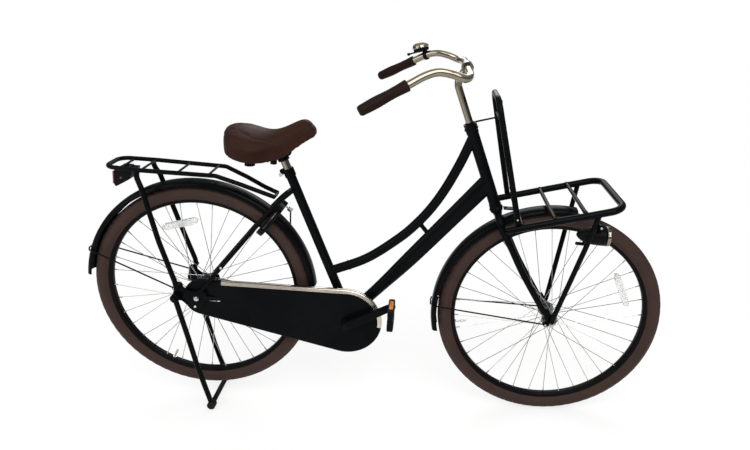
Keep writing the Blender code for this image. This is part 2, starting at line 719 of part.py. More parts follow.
def rear_axle():
    nut0, nut1 = DROPOUT_OUT + GAP, DROPOUT_OUT + GAP + NUT_HEIGHT
    pieces = [cross_rod(0, 0, -nut1 - 0.004, nut1 + 0.004, AXLE_RADIUS, 10)]
    pieces += both_sides(lambda s: cross_rod(0, 0, s * nut0, s * nut1, NUT_RADIUS, 6))
    pieces += both_sides(lambda s: cross_rod(0, 0, s * (DROPOUT_IN - GAP), s * (DROPOUT_IN - 0.0095),
                                             0.0080, 10))
    add("rear_axle", joined(pieces), "bike", STEEL)
    y0, y1 = DROPOUT_IN - 0.0098, DROPOUT_IN - 0.0128
    arm = belt((0.150, -0.0360, 0.0075), (0.0, -0.0020, 0.0150), steps=6)
    stay = stay_paths(1)[0]
    after = max((p for p in stay if p.x < 0.150), key=lambda p: p.x)
    before = min((p for p in stay if p.x > 0.150), key=lambda p: p.x)
    middle = before.lerp(after, 0.5)
    ring = clearing(STAY_RADIUS, 12)
    strap = turned([(ring + 0.0020, 0.006), (ring + 0.0020, -0.006), (ring, -0.006), (ring, 0.006)],
                   middle, before - after, 12)
    stub = rod(Vector((0.150, y1 + 0.0010, -0.0360)), middle + Vector((0, -0.0060, -0.0085)), 0.0030, 8)
    arm_piece = cut(joined([plate(arm, y1, y0), strap, stub]),
                    cross_rod(0, 0, 0.02, 0.07, clearing(AXLE_RADIUS, 10), 10))
    add("coaster_brake_arm", arm_piece, "bike", STEEL)


def wheel(prefix, centre, carrier, hub_radius, hub_width, flange_radius, flanges, phase, driver=None):
    """Hub laced to 36 spokes, rim, tyre and spoke reflector."""
    centre = Vector((centre[0], 0, centre[1]))
    left, right = flanges
    bore = clearing(AXLE_RADIUS, 14)
    end = hub_width / 2 - 0.0135
    wall = 0.0017
    profile = [
        (bore + 0.004, end), (hub_radius, left + 0.006), (hub_radius, left + wall), (flange_radius,
                left + wall),
        (flange_radius, left - wall), (hub_radius, left - wall), (hub_radius, right + wall),
        (flange_radius, right + wall), (flange_radius, right - wall), (hub_radius, right - wall),
    ]
    if driver:
        profile += [(driver, right - 0.004), (driver, driver_end), (bore + 0.002, driver_end)]
    else:
        profile += [(hub_radius, right - 0.006), (bore + 0.004, -end)]
    profile += [(bore, profile[-1][1]), (bore, end)]
    hub = turned(profile, centre, (0, 1, 0), 14)
    spokes = []
    for i in range(SPOKES):
        flange = left if i % 2 else right
        leans = 1 if (i // 2) % 2 else -1
        rim_angle = phase + 2 * math.pi * i / SPOKES
        hub_angle = rim_angle + leans * math.radians(SPOKE_CROSSING)
        hole = flange_radius - 0.0030
        inside = flange + leans * 0.0018
        start = centre + Vector((hole * math.cos(hub_angle), inside, hole * math.sin(hub_angle)))
        reach = RIM_INNER_RADIUS * math.cos(math.pi / WHEEL_STEPS) - GAP
        across = math.copysign(0.003, flange) + leans * 0.0013
        stop = centre + Vector((reach * math.cos(rim_angle), across, reach * math.sin(rim_angle)))
        SPOKE_LINES.setdefault(prefix, []).append((start, stop))
        spokes.append(rod(start, stop, SPOKE_RADIUS, 3))
    add(prefix + "_hub", joined([hub, gathered(spokes)]), carrier, STEEL)

    half = RIM_WIDTH / 2
    rim = [
        (RIM_EDGE_RADIUS, half), (RIM_EDGE_RADIUS, half - 0.0018), (RIM_BED_RADIUS, half - 0.0018),
        (RIM_BED_RADIUS, 0.0018 - half), (RIM_EDGE_RADIUS, 0.0018 - half), (RIM_EDGE_RADIUS, -half),
        (RIM_INNER_RADIUS, 0.0040 - half), (RIM_INNER_RADIUS, half - 0.0040),
    ]
    start = math.pi / 2 - PITCH
    add(prefix + "_rim", turned(rim, centre, (0, 1, 0), WHEEL_STEPS, start), carrier, BLACK)

    section = TYRE_WIDTH / 2
    middle = WHEEL_RADIUS - section
    bead = half - 0.0018 - 2 * GAP
    bead_radius = RIM_BED_RADIUS + GAP
    outer = [(middle + section * math.cos(math.radians(a)), section * math.sin(math.radians(a)))
             for a in (-125, -82, -40, 0, 40, 82, 125)]
    inner = [(middle + (section - TYRE_WALL) * math.cos(math.radians(a)),
              (section - TYRE_WALL) * math.sin(math.radians(a)))
             for a in (96, 35, -35, -96)]
    lip = RIM_EDGE_RADIUS + 2 * GAP
    tyre = [(bead_radius, -bead), (lip, -bead)] + outer + [(lip, bead), (bead_radius, bead),
                                                           (bead_radius, bead - 0.0035)] + inner
    tyre += [(bead_radius, 0.0035 - bead)]
    add(prefix + "_tyre", turned(tyre, centre, (0, 1, 0), WHEEL_STEPS, start), carrier, TYRE)


driver_end = -0.0500
SPOKE_LINES = {}


def spoke_reflector(prefix, centre, carrier, angle, radius):
    """A long lens lying between the spokes, grooved where they run along it."""
    out = Vector((math.cos(angle), 0, math.sin(angle)))
    tangent = Vector((-math.sin(angle), 0, math.cos(angle)))
    place = Vector((centre[0], 0, centre[1])) + out * radius
    outline = [(0.060, -0.002), (0.052, 0.0095), (-0.046, 0.0095), (-0.060, 0.002), (-0.052, -0.0095),
               (0.046, -0.0095)]
    points = [place + tangent * a + out * b for a, b in outline]
    lens = plate([(p.x, p.z) for p in points], -REFLECTOR_HALF, REFLECTOR_HALF)
    grooves = []
    for start, stop in SPOKE_LINES[prefix]:
        along = (stop - start).normalized()
        nearest = start + along * (place - start).dot(along)
        if (nearest - place).length < 0.066:
            grooves.append(rod(nearest - along * 0.04, nearest + along * 0.035,
                               clearing(SPOKE_RADIUS, 6), 6))
    add(prefix + "_reflector", cut(lens, *grooves), carrier, CLEAR_LENS)


def fender_section():
    """C-shaped section: first coordinate outwards from the wheel, second across it."""
    half = FENDER_WIDTH / 2
    outer = [(-FENDER_DEPTH, -half), (-0.0052, -half * 0.88), (0, -half * 0.38), (0, half * 0.38),
             (-0.0052, half * 0.88),
             (-FENDER_DEPTH, half)]
    inner_half = half - FENDER_WALL * 1.2
    inner = [(-FENDER_DEPTH, inner_half), (-0.0060, half * 0.82), (-FENDER_WALL, half * 0.34),
             (-FENDER_WALL, -half * 0.34), (-0.0060, -half * 0.82), (-FENDER_DEPTH, -inner_half)]
    return outer + inner


def fender(name, centre, sector, carrier):
    path = arc(centre, FENDER_RADIUS, *sector, round((sector[1] - sector[0]) / 7.5))
    add(name, swept(path, fender_section()), carrier, BLACK)


def fender_stays(name, centre, angle, low, carrier):
    """Two wires from the axle ends to the fender, joined by the strap across its back."""
    a = math.radians(angle)
    reach = FENDER_RADIUS + FENDER_STAY_RADIUS + 0.0006
    half = FENDER_WIDTH / 2 + FENDER_STAY_RADIUS + 0.0008
    out = Vector((math.cos(a), 0, math.sin(a)))
    middle = Vector((centre[0], 0, centre[1]))
    edge = middle + out * (FENDER_RADIUS - FENDER_DEPTH - 0.001)
    corner = middle + out * (FENDER_RADIUS - 0.004)
    top = middle + out * reach
    path = [
        (low[0], -low[1], low[2]), (edge.x, -half, edge.z), (corner.x, -half, corner.z),
        (top.x, -half * 0.55, top.z), (top.x, half * 0.55, top.z), (corner.x, half, corner.z),
        (edge.x, half, edge.z), (low[0], low[1], low[2]),
    ]
    wire = bar(path, FENDER_STAY_RADIUS, 6)
    eyes = both_sides(lambda s: cross_rod(low[0], low[2], s * (low[1] - 0.0026), s * (low[1] + 0.0026),
                                          0.0065, 8))
    add(name, joined([wire] + eyes), carrier, BLACK)


def rear_rack():
    w, z = REAR_RACK_HALF_WIDTH, REAR_RACK_HEIGHT
    half = [(-0.2640, w - 0.006, z + 0.002), (-0.1500, w, z), (0.0720, w - 0.007, z - 0.003),
            (0.1434, 0.0370, 0.3835),
            (0.2000, 0.0250, 0.3600), (0.2440, 0.0200, 0.3440)]
    path = [(x, -y, h) for x, y, h in reversed(half)] + [(x, y, h) for x, y, h in half]
    pieces = [bar(rounded(path, 0.032, 3), REAR_RACK_TUBE, 8)]
    for x in REAR_RACK_BARS:
        pieces.append(cross_rod(x, z - 0.0005, -w + 0.003, w - 0.003, 0.0036, 6))
    pieces.append(cross_rod(0.2420, 0.3445, -0.021, 0.021, 0.0045, 6))
    foot = STAND_HALF_WIDTH + 0.0070
    for side in (-1, 1):
        pieces.append(bar(
            [(-0.1640, side * (w - 0.001), z), (-0.1640, side * (w + 0.004), z - 0.022),
             (-0.150, side * 0.0670, 0.362),
             (-0.103, side * (foot - 0.0050), 0.194), (-0.0600, side * foot, 0.062),
             (-0.0570, side * foot, 0.042)],
            RACK_STRUT_RADIUS, 6))
        pieces.append(cross_rod(-0.0560, 0.0420, side * (DROPOUT_OUT + GAP), side * (foot + 0.0070), 0.0070, 10))
    rack = joined(pieces)
    add("rear_rack", rack, "bike", BLACK)


def tail_lamp():
    side = [(-0.2475, 0.3990), (-0.2500, 0.3520), (-0.2450, 0.3465), (-0.2030, 0.3710), (-0.1940, 0.3990)]
    housing = plate(side, -0.034, 0.034)
    mount = box((-0.2205, 0, 0.4030), (0.030, 0.030, 0.0100))
    add("tail_lamp_housing", joined([housing, mount]), "bike", BLACK_PLASTIC)
    lens = plate([(-0.2481, 0.3965), (-0.2525, 0.3945), (-0.2546, 0.3560), (-0.2504, 0.3540)], -0.032,
                 0.032)
    add("tail_lamp_lens", lens, "bike", RED_LENS)


LOCK_SHIFT = 0.0174
LOCK_FOOT = LOCK_SHIFT - STAY_RADIUS + 0.0017
LOCK_PLANE = LOCK_CENTRE + LOCK_AHEAD * LOCK_SHIFT
LOCK_KEY = LOCK_PLANE + LOCK_OUTWARD * 0.050 + Vector((0, 0.036, 0))


def ring_point(angle, radius):
    """A point of the lock's ring; 0 degrees points away from the hub, + towards the left."""
    a = math.radians(angle)
    return LOCK_PLANE + LOCK_OUTWARD * radius * math.cos(a) + Vector((0, radius * math.sin(a), 0))


def ring_bar(start, end, radius, thick, steps, sides):
    points = [ring_point(start + (end - start) * i / steps, radius) for i in range(steps + 1)]
    return bar(points, thick, sides)


def ring_lock():
    half = LOCK_BODY_HALF
    shell = ring_bar(-150, 150, LOCK_BOLT_RING, half, 12, 8)
    channel = ring_bar(-224, -24, LOCK_BOLT_RING, clearing(LOCK_BOLT_RADIUS + 0.0010, 6), 10, 6)
    slot = ring_bar(-110, -27, LOCK_BOLT_RING + 0.0070, 0.0056, 5, 4)
    pieces = [shell, rod(LOCK_KEY - LOCK_AHEAD * 0.006, LOCK_KEY + LOCK_AHEAD * 0.013, 0.0130, 12)]
    for side in (-1, 1):
        foot = LOCK_PLANE + LOCK_OUTWARD * 0.012 + Vector((0, side * 0.0450, 0))
        pieces.append(rod(foot - LOCK_AHEAD * 0.0060, foot - LOCK_AHEAD * LOCK_FOOT, 0.0050, 8))
    keyhole = rod(LOCK_KEY + LOCK_AHEAD * 0.004, LOCK_KEY + LOCK_AHEAD * 0.02, clearing(0.0036, 8), 8)
    add("ring_lock", cut(joined(pieces), channel, slot, keyhole), "bike", BLACK_PLASTIC)
    bolt = ring_bar(-144, -24.4, LOCK_BOLT_RING, LOCK_BOLT_RADIUS, 6, 6)
    knob = rod(ring_point(-32, LOCK_BOLT_RING), ring_point(-32, LOCK_BOLT_RING + 0.018), 0.0018, 6)
    handle = rod(ring_point(-32, LOCK_BOLT_RING + 0.0165), ring_point(-32, LOCK_BOLT_RING + 0.0235),
                 0.0048, 8)
    add("ring_lock_bolt", joined([bolt, knob, handle]), "lock_axis", STEEL)
    key = joined([
        rod(LOCK_KEY + LOCK_AHEAD * 0.0045, LOCK_KEY + LOCK_AHEAD * 0.024, 0.0036, 8),
        box(LOCK_KEY + LOCK_AHEAD * 0.030, (0.016, 0.005, 0.016), LOCK_AHEAD),
        box(LOCK_KEY + LOCK_AHEAD * 0.031 + Vector((0, 0, -0.030)), (0.005, 0.003, 0.052)),
    ])
    add("ring_lock_key", key, "key_axis", STEEL)


def fork():
    crown = HEAD_LOW - AXIS_UP * (CUP_HEIGHT + 2 * GAP)
    pieces = [
        rod(crown - AXIS_UP * 0.0140, HEAD_HIGH + AXIS_UP * (CUP_HEIGHT + 0.0140), STEERER_RADIUS, 12),
        rod(crown - AXIS_UP * 0.006, crown, CUP_RADIUS - 0.001, 14),
    ]
    shoulder = crown - AXIS_UP * 0.0142
    w = FORK_HALF_WIDTH
    leg = smooth([
        (shoulder.x, 0.0, shoulder.z), (shoulder.x + 0.001, 0.028, shoulder.z - 0.003),
        (shoulder.x + 0.0125, 0.0455, shoulder.z - 0.030), (0.9800, 0.0485, 0.2400),
        (1.0060, 0.0500, 0.1760), (1.0430, w, 0.1200), (WHEELBASE - 0.0245, w + 0.0025, 0.034)], 2)
    legs = [Vector((p.x, -p.y, p.z)) for p in reversed(leg[1:])] + leg
    half = len(leg) - 1
    thin = FORK_END_RADIUS / FORK_LEG_RADIUS - 1
    taper = [1 + thin * abs(i - half) / half for i in range(2 * half + 1)]
    pieces.append(bar(legs, FORK_LEG_RADIUS, 8, taper))
    for side in (-1, 1):
        y0, y1 = sorted((side * (FRONT_HUB_WIDTH / 2 + GAP), side * FORK_TIP_OUT))
        tip = arc((WHEELBASE, 0), 0.0130, -160, 20, 6)
        tip += [(WHEELBASE + 0.001, 0.024), (WHEELBASE - 0.015, 0.050), (WHEELBASE - 0.031, 0.042)]
        pieces.append(plate(tip, y0, y1))
        pieces.append(cross_rod(*FORK_EYELET, y0 + 0.0004, y1 - 0.0004, 0.0075, 8))
    made = joined(pieces)
    quill = rod(HEAD_HIGH - AXIS_UP * 0.200, HEAD_HIGH + AXIS_UP * 0.06, clearing(QUILL_RADIUS, 12), 12)
    axle = cross_rod(WHEELBASE, 0, -0.08, 0.08, clearing(AXLE_RADIUS, 10), 10)
    add("fork", cut(made, quill, axle), "steering", BLACK)
    nut0 = FORK_TIP_OUT + GAP
    axle_pieces = [cross_rod(WHEELBASE, 0, -nut0 - 0.0185, nut0 + 0.0185, AXLE_RADIUS, 10)]
    axle_pieces += both_sides(lambda s: cross_rod(WHEELBASE, 0, s * (nut0 + 0.0072), s * (nut0 + 0.0155),
                                                  NUT_RADIUS, 6))
    inner = FRONT_HUB_WIDTH / 2
    axle_pieces += both_sides(lambda s: cross_rod(WHEELBASE, 0, s * inner, s * (inner - 0.0130), 0.0075,
                                                  10))
    add("front_axle", joined(axle_pieces), "steering", STEEL)


def front_rack():
    w = FRONT_RACK_HALF_WIDTH
    x0, x1 = FRONT_RACK_REAR[0], FRONT_RACK_FRONT_X
    path = [(x0, -w, rack_height(x0)), (x1, -w, rack_height(x1)), (x1, w, rack_height(x1)),
            (x0, w, rack_height(x0))]
    pieces = [bar(rounded(path, 0.042, 4), FRONT_RACK_TUBE, 8)]
    for x in RACK_BARS:
        pieces.append(cross_rod(x, rack_height(x) + 0.0080, -w, w, 0.0050, 6))
    first = RACK_BARS[0]
    tab_x0 = 0.9447
    pieces.append(box(((tab_x0 + first) / 2, 0, rack_height(first) + 0.0065),
                      (first - tab_x0, 0.026, 0.0030)))
    y_eye = FORK_TIP_OUT + GAP
    for side in (-1, 1):
        pieces.append(bar(
            [(WHEELBASE, side * (y_eye + 0.0086), 0.004), (WHEELBASE + 0.004, side * (y_eye + 0.0095),
                                                           0.026),
             (1.1760, side * 0.1180, 0.285), (1.1905, side * 0.1340, 0.372), (1.1945, side * 0.1370,
                     0.403)],
            FRONT_STRUT_RADIUS, 6))
        pieces.append(cross_rod(WHEELBASE, 0, side * y_eye, side * (y_eye + 0.0064), 0.0105, 12))
    made = joined(pieces)
    made = cut(made, cross_rod(WHEELBASE, 0, -0.09, 0.09, clearing(AXLE_RADIUS, 10), 10),
               *both_sides(lambda s: cross_rod(WHEELBASE, 0, s * (y_eye + 0.0066), s * (y_eye + 0.0300),
                                               0.0105, 10)))
    add("front_rack", made, "steering", BLACK)


RACK_BARS = (0.984, 1.074, 1.158)
FRONT_STRUT_RADIUS = 0.0080


def hoop():
    lean = Vector((-0.2447, 0, 0.9696))
    ahead = Vector((0.9696, 0, 0.2447))
    base = Vector((HOOP_BASE_X, 0,
                   rack_height(HOOP_BASE_X) + FRONT_RACK_TUBE + HOOP_TUBE * 0.25 + 2 * GAP))
    sides = [(0.0, 0.1380), (0.130, 0.1210), (0.250, 0.0960), (HOOP_HEIGHT, 0.0770)]
    half = [base + lean * up + Vector((0, wide, 0)) for up, wide in sides]
    path = [Vector((p.x, -p.y, p.z)) for p in half] + list(reversed(half))
    cross = base + lean * HOOP_BAR_UP
    tube = bar(rounded(path, 0.042, 3), HOOP_TUBE, 8)
    bar_half = 0.0890
    add("front_hoop", joined([tube, cross_rod(cross.x, cross.z, -bar_half, bar_half, 0.0045, 8)]),
        "steering", BLACK)
    ring_z = HEAD_HIGH + AXIS_UP * (CUP_HEIGHT + 0.0079)
    bore = clearing(STEERER_RADIUS, 14)
    eye = turned([(0.0200, 0.0030), (0.0200, 0), (bore, 0), (bore, 0.0030)], ring_z, AXIS_UP, 14)
    hook = cross - ahead * 0.0055
    brace = joined([eye, rod(ring_z + AXIS_AHEAD * 0.0180 + AXIS_UP * 0.0025, hook, 0.0027, 6)])
    add("hoop_brace", brace, "steering", BLACK)
    shift = ahead * 0.0079
    low = base + lean * 0.022 + shift
    high = base + lean * (HOOP_HEIGHT - 0.016) + shift
    straps = []
    for y in (-0.028, 0.0, 0.028):
        straps.append(rod((low.x, y, low.z), (high.x, y, high.z), 0.0030, 6))
    for end in (low, high):
        straps.append(cross_rod(end.x, end.z, -0.034, 0.034, 0.0038, 6))
    add("luggage_straps", joined(straps), "steering", RUBBER)


HOOP_BASE_X = 0.9715
HOOP_BAR_UP = 0.287


STRUT_FRONT_X = 1.1980


def head_lamp():
    centre = Vector(LAMP_CENTRE)
    ahead = Vector((1.0, 0, 0.008)).normalized()
    r = LAMP_RADIUS
    shell = turned(
        [(r - 0.0030, 0.031), (r - 0.0010, 0.024), (r - 0.0015, 0.0), (r - 0.0060, -0.022),
         (r - 0.0150, -0.044), (0, -0.054),
         (0, -0.049), (r - 0.0170, -0.040), (r - 0.0085, -0.021), (r - 0.0045, 0.0), (r - 0.0045, 0.031)],
        centre, ahead, 14)
    switch = joined([
        rod(centre + Vector((-0.052, 0, -0.0290)), centre + Vector((-0.026, 0, -0.0300)), 0.0052, 8),
        rod(centre + Vector((-0.029, 0, -0.0300)), centre + Vector((-0.026, 0, -0.0200)), 0.0050, 8),
    ])
    add("head_lamp_housing", joined([shell, switch]), "steering", BLACK_PLASTIC)
    ring = turned([(r, 0.041), (r, 0.0315), (r - 0.0050, 0.0315), (r - 0.0050, 0.041)], centre, ahead, 20)
    add("head_lamp_ring", ring, "steering", NICKEL)
    lens = turned([(0, 0.042), (r * 0.5, 0.0405), (r - 0.0056, 0.036), (r - 0.0056, 0.033), (0, 0.033)],
                  centre, ahead, 16)
    add("head_lamp_lens", lens, "steering", CLEAR_LENS)
    x = centre.x + 0.0060
    low = centre.z + r - 0.0004
    shelf = low + 0.0110
    out_y = -FRONT_RACK_HALF_WIDTH + 0.004
    bracket = joined([
        rod((x, centre.y, low), (x, centre.y, shelf + 0.004), 0.0080, 10),
        box((x, (centre.y + out_y) / 2, shelf), (0.018, centre.y - out_y + 0.018, 0.0034)),
        box((STRUT_FRONT_X + 0.0070, out_y, shelf + 0.004), (0.0120, 0.022, 0.017)),
    ])
    add("head_lamp_bracket", bracket, "steering", BLACK)


BAR_HALF = [(CLAMP[0], 0, CLAMP[1]), (CLAMP[0] - 0.001, 0.150, CLAMP[1] - 0.0010),
            (0.7800, 0.2000, 0.7695),
            (0.7450, 0.2110, 0.7800), (0.7094, 0.2190, 0.7840), (0.6760, 0.2330, 0.7740), (0.6356,
                    0.2514, 0.7512)]
GRIP_IN = Vector(BAR_HALF[-1])
GRIP_OUT = Vector((0.5225, 0.2950, 0.6861))
GRIP_WAY = (GRIP_OUT - GRIP_IN).normalized()
BELL_ON_BAR = Vector((0.6640, 0.2385, 0.7678))
BELL_BAR_WAY = Vector((-0.0404, 0.0184, -0.0170)).normalized()
BELL_UP = Vector((-0.30, 0.10, 0.95)).normalized()
BELL_CENTRE = BELL_ON_BAR + BELL_UP * 0.0260
BELL_REACH = (GRIP_WAY - BELL_UP * GRIP_WAY.dot(BELL_UP) + Vector((0, -0.22, 0))).normalized()
BELL_PIVOT = BELL_ON_BAR + BELL_UP * 0.0205 + GRIP_WAY * 0.015


def handlebar():
    half = smooth(BAR_HALF, 2) + [GRIP_OUT - GRIP_WAY * 0.004]
    path = [Vector((p.x, -p.y, p.z)) for p in reversed(half[1:])] + half
    add("handlebar", bar(path, BAR_RADIUS, 10), "stem_slide", NICKEL)
    for side, name in ((-1, "grip_right"), (1, "grip_left")):
        way = Vector((GRIP_WAY.x, side * GRIP_WAY.y, GRIP_WAY.z))
        start = Vector((GRIP_IN.x, side * GRIP_IN.y, GRIP_IN.z))
        length = (GRIP_OUT - GRIP_IN).length
        inner = clearing(BAR_RADIUS, 12)
        r = GRIP_RADIUS
        profile = [(0, length), (r - 0.003, length), (r, length - 0.004), (r, 0.006),
                   (r + 0.0008, 0.004), (r + 0.0008, 0.0),
                   (inner, 0.0), (inner, length - 0.0035), (0, length - 0.0035)]
        add(name, turned(profile, start, way, 12), "stem_slide", LEATHER)


def stem():
    base = HEAD_HIGH + AXIS_UP * 0.006
    low = base - AXIS_UP * (QUILL_LENGTH - 0.06)
    high = HEAD_LOW + AXIS_UP * ((0.7300 - HEAD_LOW.z) / AXIS_UP.z)
    clamp = Vector((CLAMP[0], 0, CLAMP[1]))
    pieces = [
        bar(rounded([low, high, clamp], 0.040, 4), QUILL_RADIUS, 12),
        rod(clamp + Vector((0, -0.020, 0)), clamp + Vector((0, 0.020, 0)), BAR_RADIUS + 0.0060, 14),
    ]
    made = joined(pieces)
    seats = cross_rod(*CLAMP, -0.03, 0.03, clearing(BAR_RADIUS + 0.0002, 14), 14)
    expander = rod(high - AXIS_UP * 0.02, high + AXIS_UP * 0.04, 0.0042, 8)
    add("stem", cut(made, seats, expander), "stem_slide", NICKEL)
    head = rod(high - AXIS_UP * 0.0150, high + AXIS_UP * 0.0220, 0.0037, 8)
    add("stem_bolt", head, "stem_slide", STEEL)


def bell():
    r = BELL_RADIUS
    band_in, band_out = clearing(BAR_RADIUS + 0.0011, 12), BAR_RADIUS + 0.0045
    band_at = BELL_ON_BAR - GRIP_WAY * 0.0120
    band = turned([(band_out, 0.005), (band_out, -0.005), (band_in, -0.005), (band_in, 0.005)], band_at,
                  BELL_BAR_WAY, 12)
    pod = turned([(0, 0.0170), (r - 0.004, 0.0170), (r - 0.001, 0.0130), (r - 0.003, 0.0060),
                  (0.012, 0.0035), (0.0, 0.0035)],
                 BELL_ON_BAR + BELL_UP * BAR_RADIUS, BELL_UP, 16)
    made = joined([band, pod])
    cutter = rod(BELL_PIVOT - BELL_UP * 0.0034, BELL_PIVOT + BELL_UP * 0.0034, 0.0150, 12)
    add("bell_base", cut(made, cutter), "stem_slide", BLACK_PLASTIC)
    dome_base = BELL_ON_BAR + BELL_UP * (BAR_RADIUS + 0.0170 + 0.0006)
    dome = turned([(0, 0.016), (r * 0.45, 0.0145), (r * 0.8, 0.009), (r, 0.0), (r - 0.0015, 0.0),
                   (r * 0.76, 0.0080), (r * 0.4, 0.0128), (0, 0.0140)],
                  dome_base, BELL_UP, 16)
    post = rod(dome_base - BELL_UP * 0.0003, dome_base + BELL_UP * 0.0150, 0.0030, 8)
    add("bell_dome", joined([dome, post]), "stem_slide", STEEL)
    lever = joined([
        rod(BELL_PIVOT - BELL_UP * 0.0028, BELL_PIVOT + BELL_UP * 0.0028, 0.0100, 10),
        rod(BELL_PIVOT + BELL_REACH * 0.006, BELL_PIVOT + BELL_REACH * 0.030, 0.0026, 8),
        rod(BELL_PIVOT + BELL_REACH * 0.026, BELL_PIVOT + BELL_REACH * 0.034, 0.0045, 8),
    ])
    add("bell_lever", lever, "bell_pivot", BLACK_PLASTIC)


def saddle_stations():
    """Sections of the cushion from rear to nose: x, half width, top, lower edge, hollow, crown."""
    return [
        (0.0900, 0.022, 0.5360, 0.5120, 0.5150, 0.21), (0.1015, 0.057, 0.5510, 0.4960, 0.5010, 0.21),
        (0.1240, 0.088, 0.5600, 0.4820, 0.5000, 0.21), (0.1600, 0.109, 0.5590, 0.4700, 0.5000, 0.23),
        (0.2020, 0.105, 0.5500, 0.4660, 0.5000, 0.28), (0.2400, 0.074, 0.5520, 0.4670, 0.5000, 0.28),
        (0.2780, 0.047, 0.5670, 0.4750, 0.5050, 0.22), (0.3040, 0.037, 0.5800, 0.5070, 0.5240, 0.20),
        (0.3400, 0.030, 0.5940, 0.5330, 0.5450, 0.20), (0.3640, 0.019, 0.5800, 0.5470, 0.5530, 0.20),
    ]


def saddle_cushion():
    """Coarse cage of cross sections, rounded by subdivision: crowned top, drawn-in sides, hollow below."""
    shape = bmesh.new()
    rings = []
    scale = SADDLE_WIDTH / 0.228
    for x, wide, top, low, hollow, crown in saddle_stations():
        wide *= scale
        tall = top - low
        side = [(0.0, top), (0.45, top - 0.05 * tall), (0.82, top - crown * tall),
                (1.0, low + 0.48 * tall), (0.97, low + 0.003),
                (0.90, low), (0.82, hollow), (0.0, hollow)]
        loop = [(w, z) for w, z in side] + [(-w, z) for w, z in reversed(side[1:-1])]
        rings.append([shape.verts.new((x, w * wide, z)) for w, z in loop])
    for a, b in zip(rings, rings[1:]):
        for i in range(len(a)):
            j = (i + 1) % len(a)
            shape.faces.new((a[i], a[j], b[j], b[i]))
    shape.faces.new(list(reversed(rings[0])))
    shape.faces.new(rings[-1])
    cushion = from_bmesh(shape)
    levels = cushion.modifiers.new("round", "SUBSURF")
    levels.levels = 1
    levels.render_levels = 1
    add("saddle_cushion", cushion, "saddle_slide", LEATHER)


def saddle_hardware():
    top = Vector((seat_axis(SEAT_POST_TOP), 0, SEAT_POST_TOP)) - SEAT_UP * 0.010
    low = top - SEAT_UP * SEAT_POST_LENGTH
    r = SEAT_POST_RADIUS
    post = turned([(r, SEAT_POST_LENGTH), (r, 0), (r - 0.002, 0), (r - 0.002, SEAT_POST_LENGTH)], low,
                  SEAT_UP, 14)
    add("seat_post", post, "saddle_slide", NICKEL)
    rail_z = RAIL_HEIGHT
    clamp_x = seat_axis(rail_z)
    clamp = joined([
        rod(top - SEAT_UP * 0.020, top + SEAT_UP * 0.003, r + 0.0055, 12),
        cross_rod(clamp_x, rail_z, -0.032, 0.032, 0.0088, 10),
    ])
    cutters = [rod(low, top + SEAT_UP * 0.0006, clearing(r, 14), 14)]
    for side in (-1, 1):
        cutters.append(rod((clamp_x - 0.03, side * RAIL_HALF, rail_z),
                           (clamp_x + 0.03, side * RAIL_HALF, rail_z), clearing(RAIL_RADIUS, 8), 8))
    add("saddle_clamp", cut(clamp, *cutters), "saddle_slide", BLACK)
    pieces = []
    for side in (-1, 1):
        pieces.append(bar(rounded(
            [(0.3460, side * 0.0040, 0.5400), (0.2930, side * 0.0150, 0.5085),
             (0.2795, side * RAIL_HALF, rail_z),
             (0.2100, side * RAIL_HALF, rail_z), (0.1800, side * 0.0600,
                                                  0.4660)], 0.006, 2), RAIL_RADIUS, 6))
        pieces.append(rod((0.1800, side * 0.0600, 0.4545), (0.1800, side * 0.0600, PAN_LOW - 0.0050),
                          0.0158, 12))
        pieces.append(rod((0.2430, side * 0.0300, 0.4545), (0.2430, side * 0.0300, PAN_LOW - 0.0012),
                          0.0100, 10))
    pieces.append(cross_rod(0.1800, 0.4620, -0.056, 0.056, RAIL_RADIUS, 6))
    pieces.append(box((0.3400, 0, 0.5364), (0.014, 0.018, 0.009), (-0.54, 0, 0.842)))
    add("saddle_rails", joined(pieces), "saddle_slide", BLACK)


RAIL_HEIGHT = 0.4700
RAIL_HALF = 0.0210
RAIL_RADIUS = 0.0036
PAN_LOW = 0.4980


def stand():
    px, pz = STAND_PIVOT
    fx, fz = STAND_FOOT
    w = STAND_HALF_WIDTH
    half = [(px, w, pz - 0.004), (px + 0.015, w, -0.118), (px + 0.050, w, -0.256), (fx, w, fz)]
    path = [(x, -y, z) for x, y, z in half] + [(x, y, z) for x, y, z in reversed(half)]
    pieces = [bar(rounded(path, 0.012, 2), STAND_TUBE, 8)]
    pieces += both_sides(lambda s: cross_rod(px, pz, s * (w - 0.0075), s * (w + 0.0075), 0.0145, 12))
    pieces += both_sides(lambda s: cross_rod(fx, fz, s * (w - 0.0120), s * (w + 0.0120), STAND_SHOE, 12))
    made = joined(pieces)
    bore = cross_rod(px, pz, -0.1, 0.1, clearing(0.0055, 12), 12)
    add("stand", cut(made, bore), "stand_pivot", BLACK)


def pedal(name, side, place, carrier):
    """Block pedal standing on edge, bored for its axle."""
    thick, wide, tall = PEDAL_SIZE
    y0 = side * (CRANK_OUT + 0.0030)
    y1 = side * (CRANK_OUT + 0.0030 + wide)
    mid = (y0 + y1) / 2
    x, z = place
    blocks = []
    for dz in (-1, 1):
        blocks.append(box((x, mid, z + dz * (tall / 2 - 0.012)), (thick, wide, 0.024)))
    blocks.append(box((x, mid, z), (0.018, wide * 0.30, tall * 0.6)))
    blocks.append(cross_rod(x, z, y0 + side * 0.001, y1 - side * 0.001, 0.0100, 12))
    blocks.append(box((x, y0 + side * 0.0045, z), (0.014, 0.008, tall * 0.7)))
    blocks.append(box((x, y1 - side * 0.0045, z), (0.014, 0.008, tall * 0.7)))
    made = cut(joined(blocks), cross_rod(x, z, y0 - side * 0.01, y1 - side * 0.0025,
                                         clearing(PEDAL_AXLE_RADIUS, 12), 12))
    add(name, made, carrier, RUBBER)


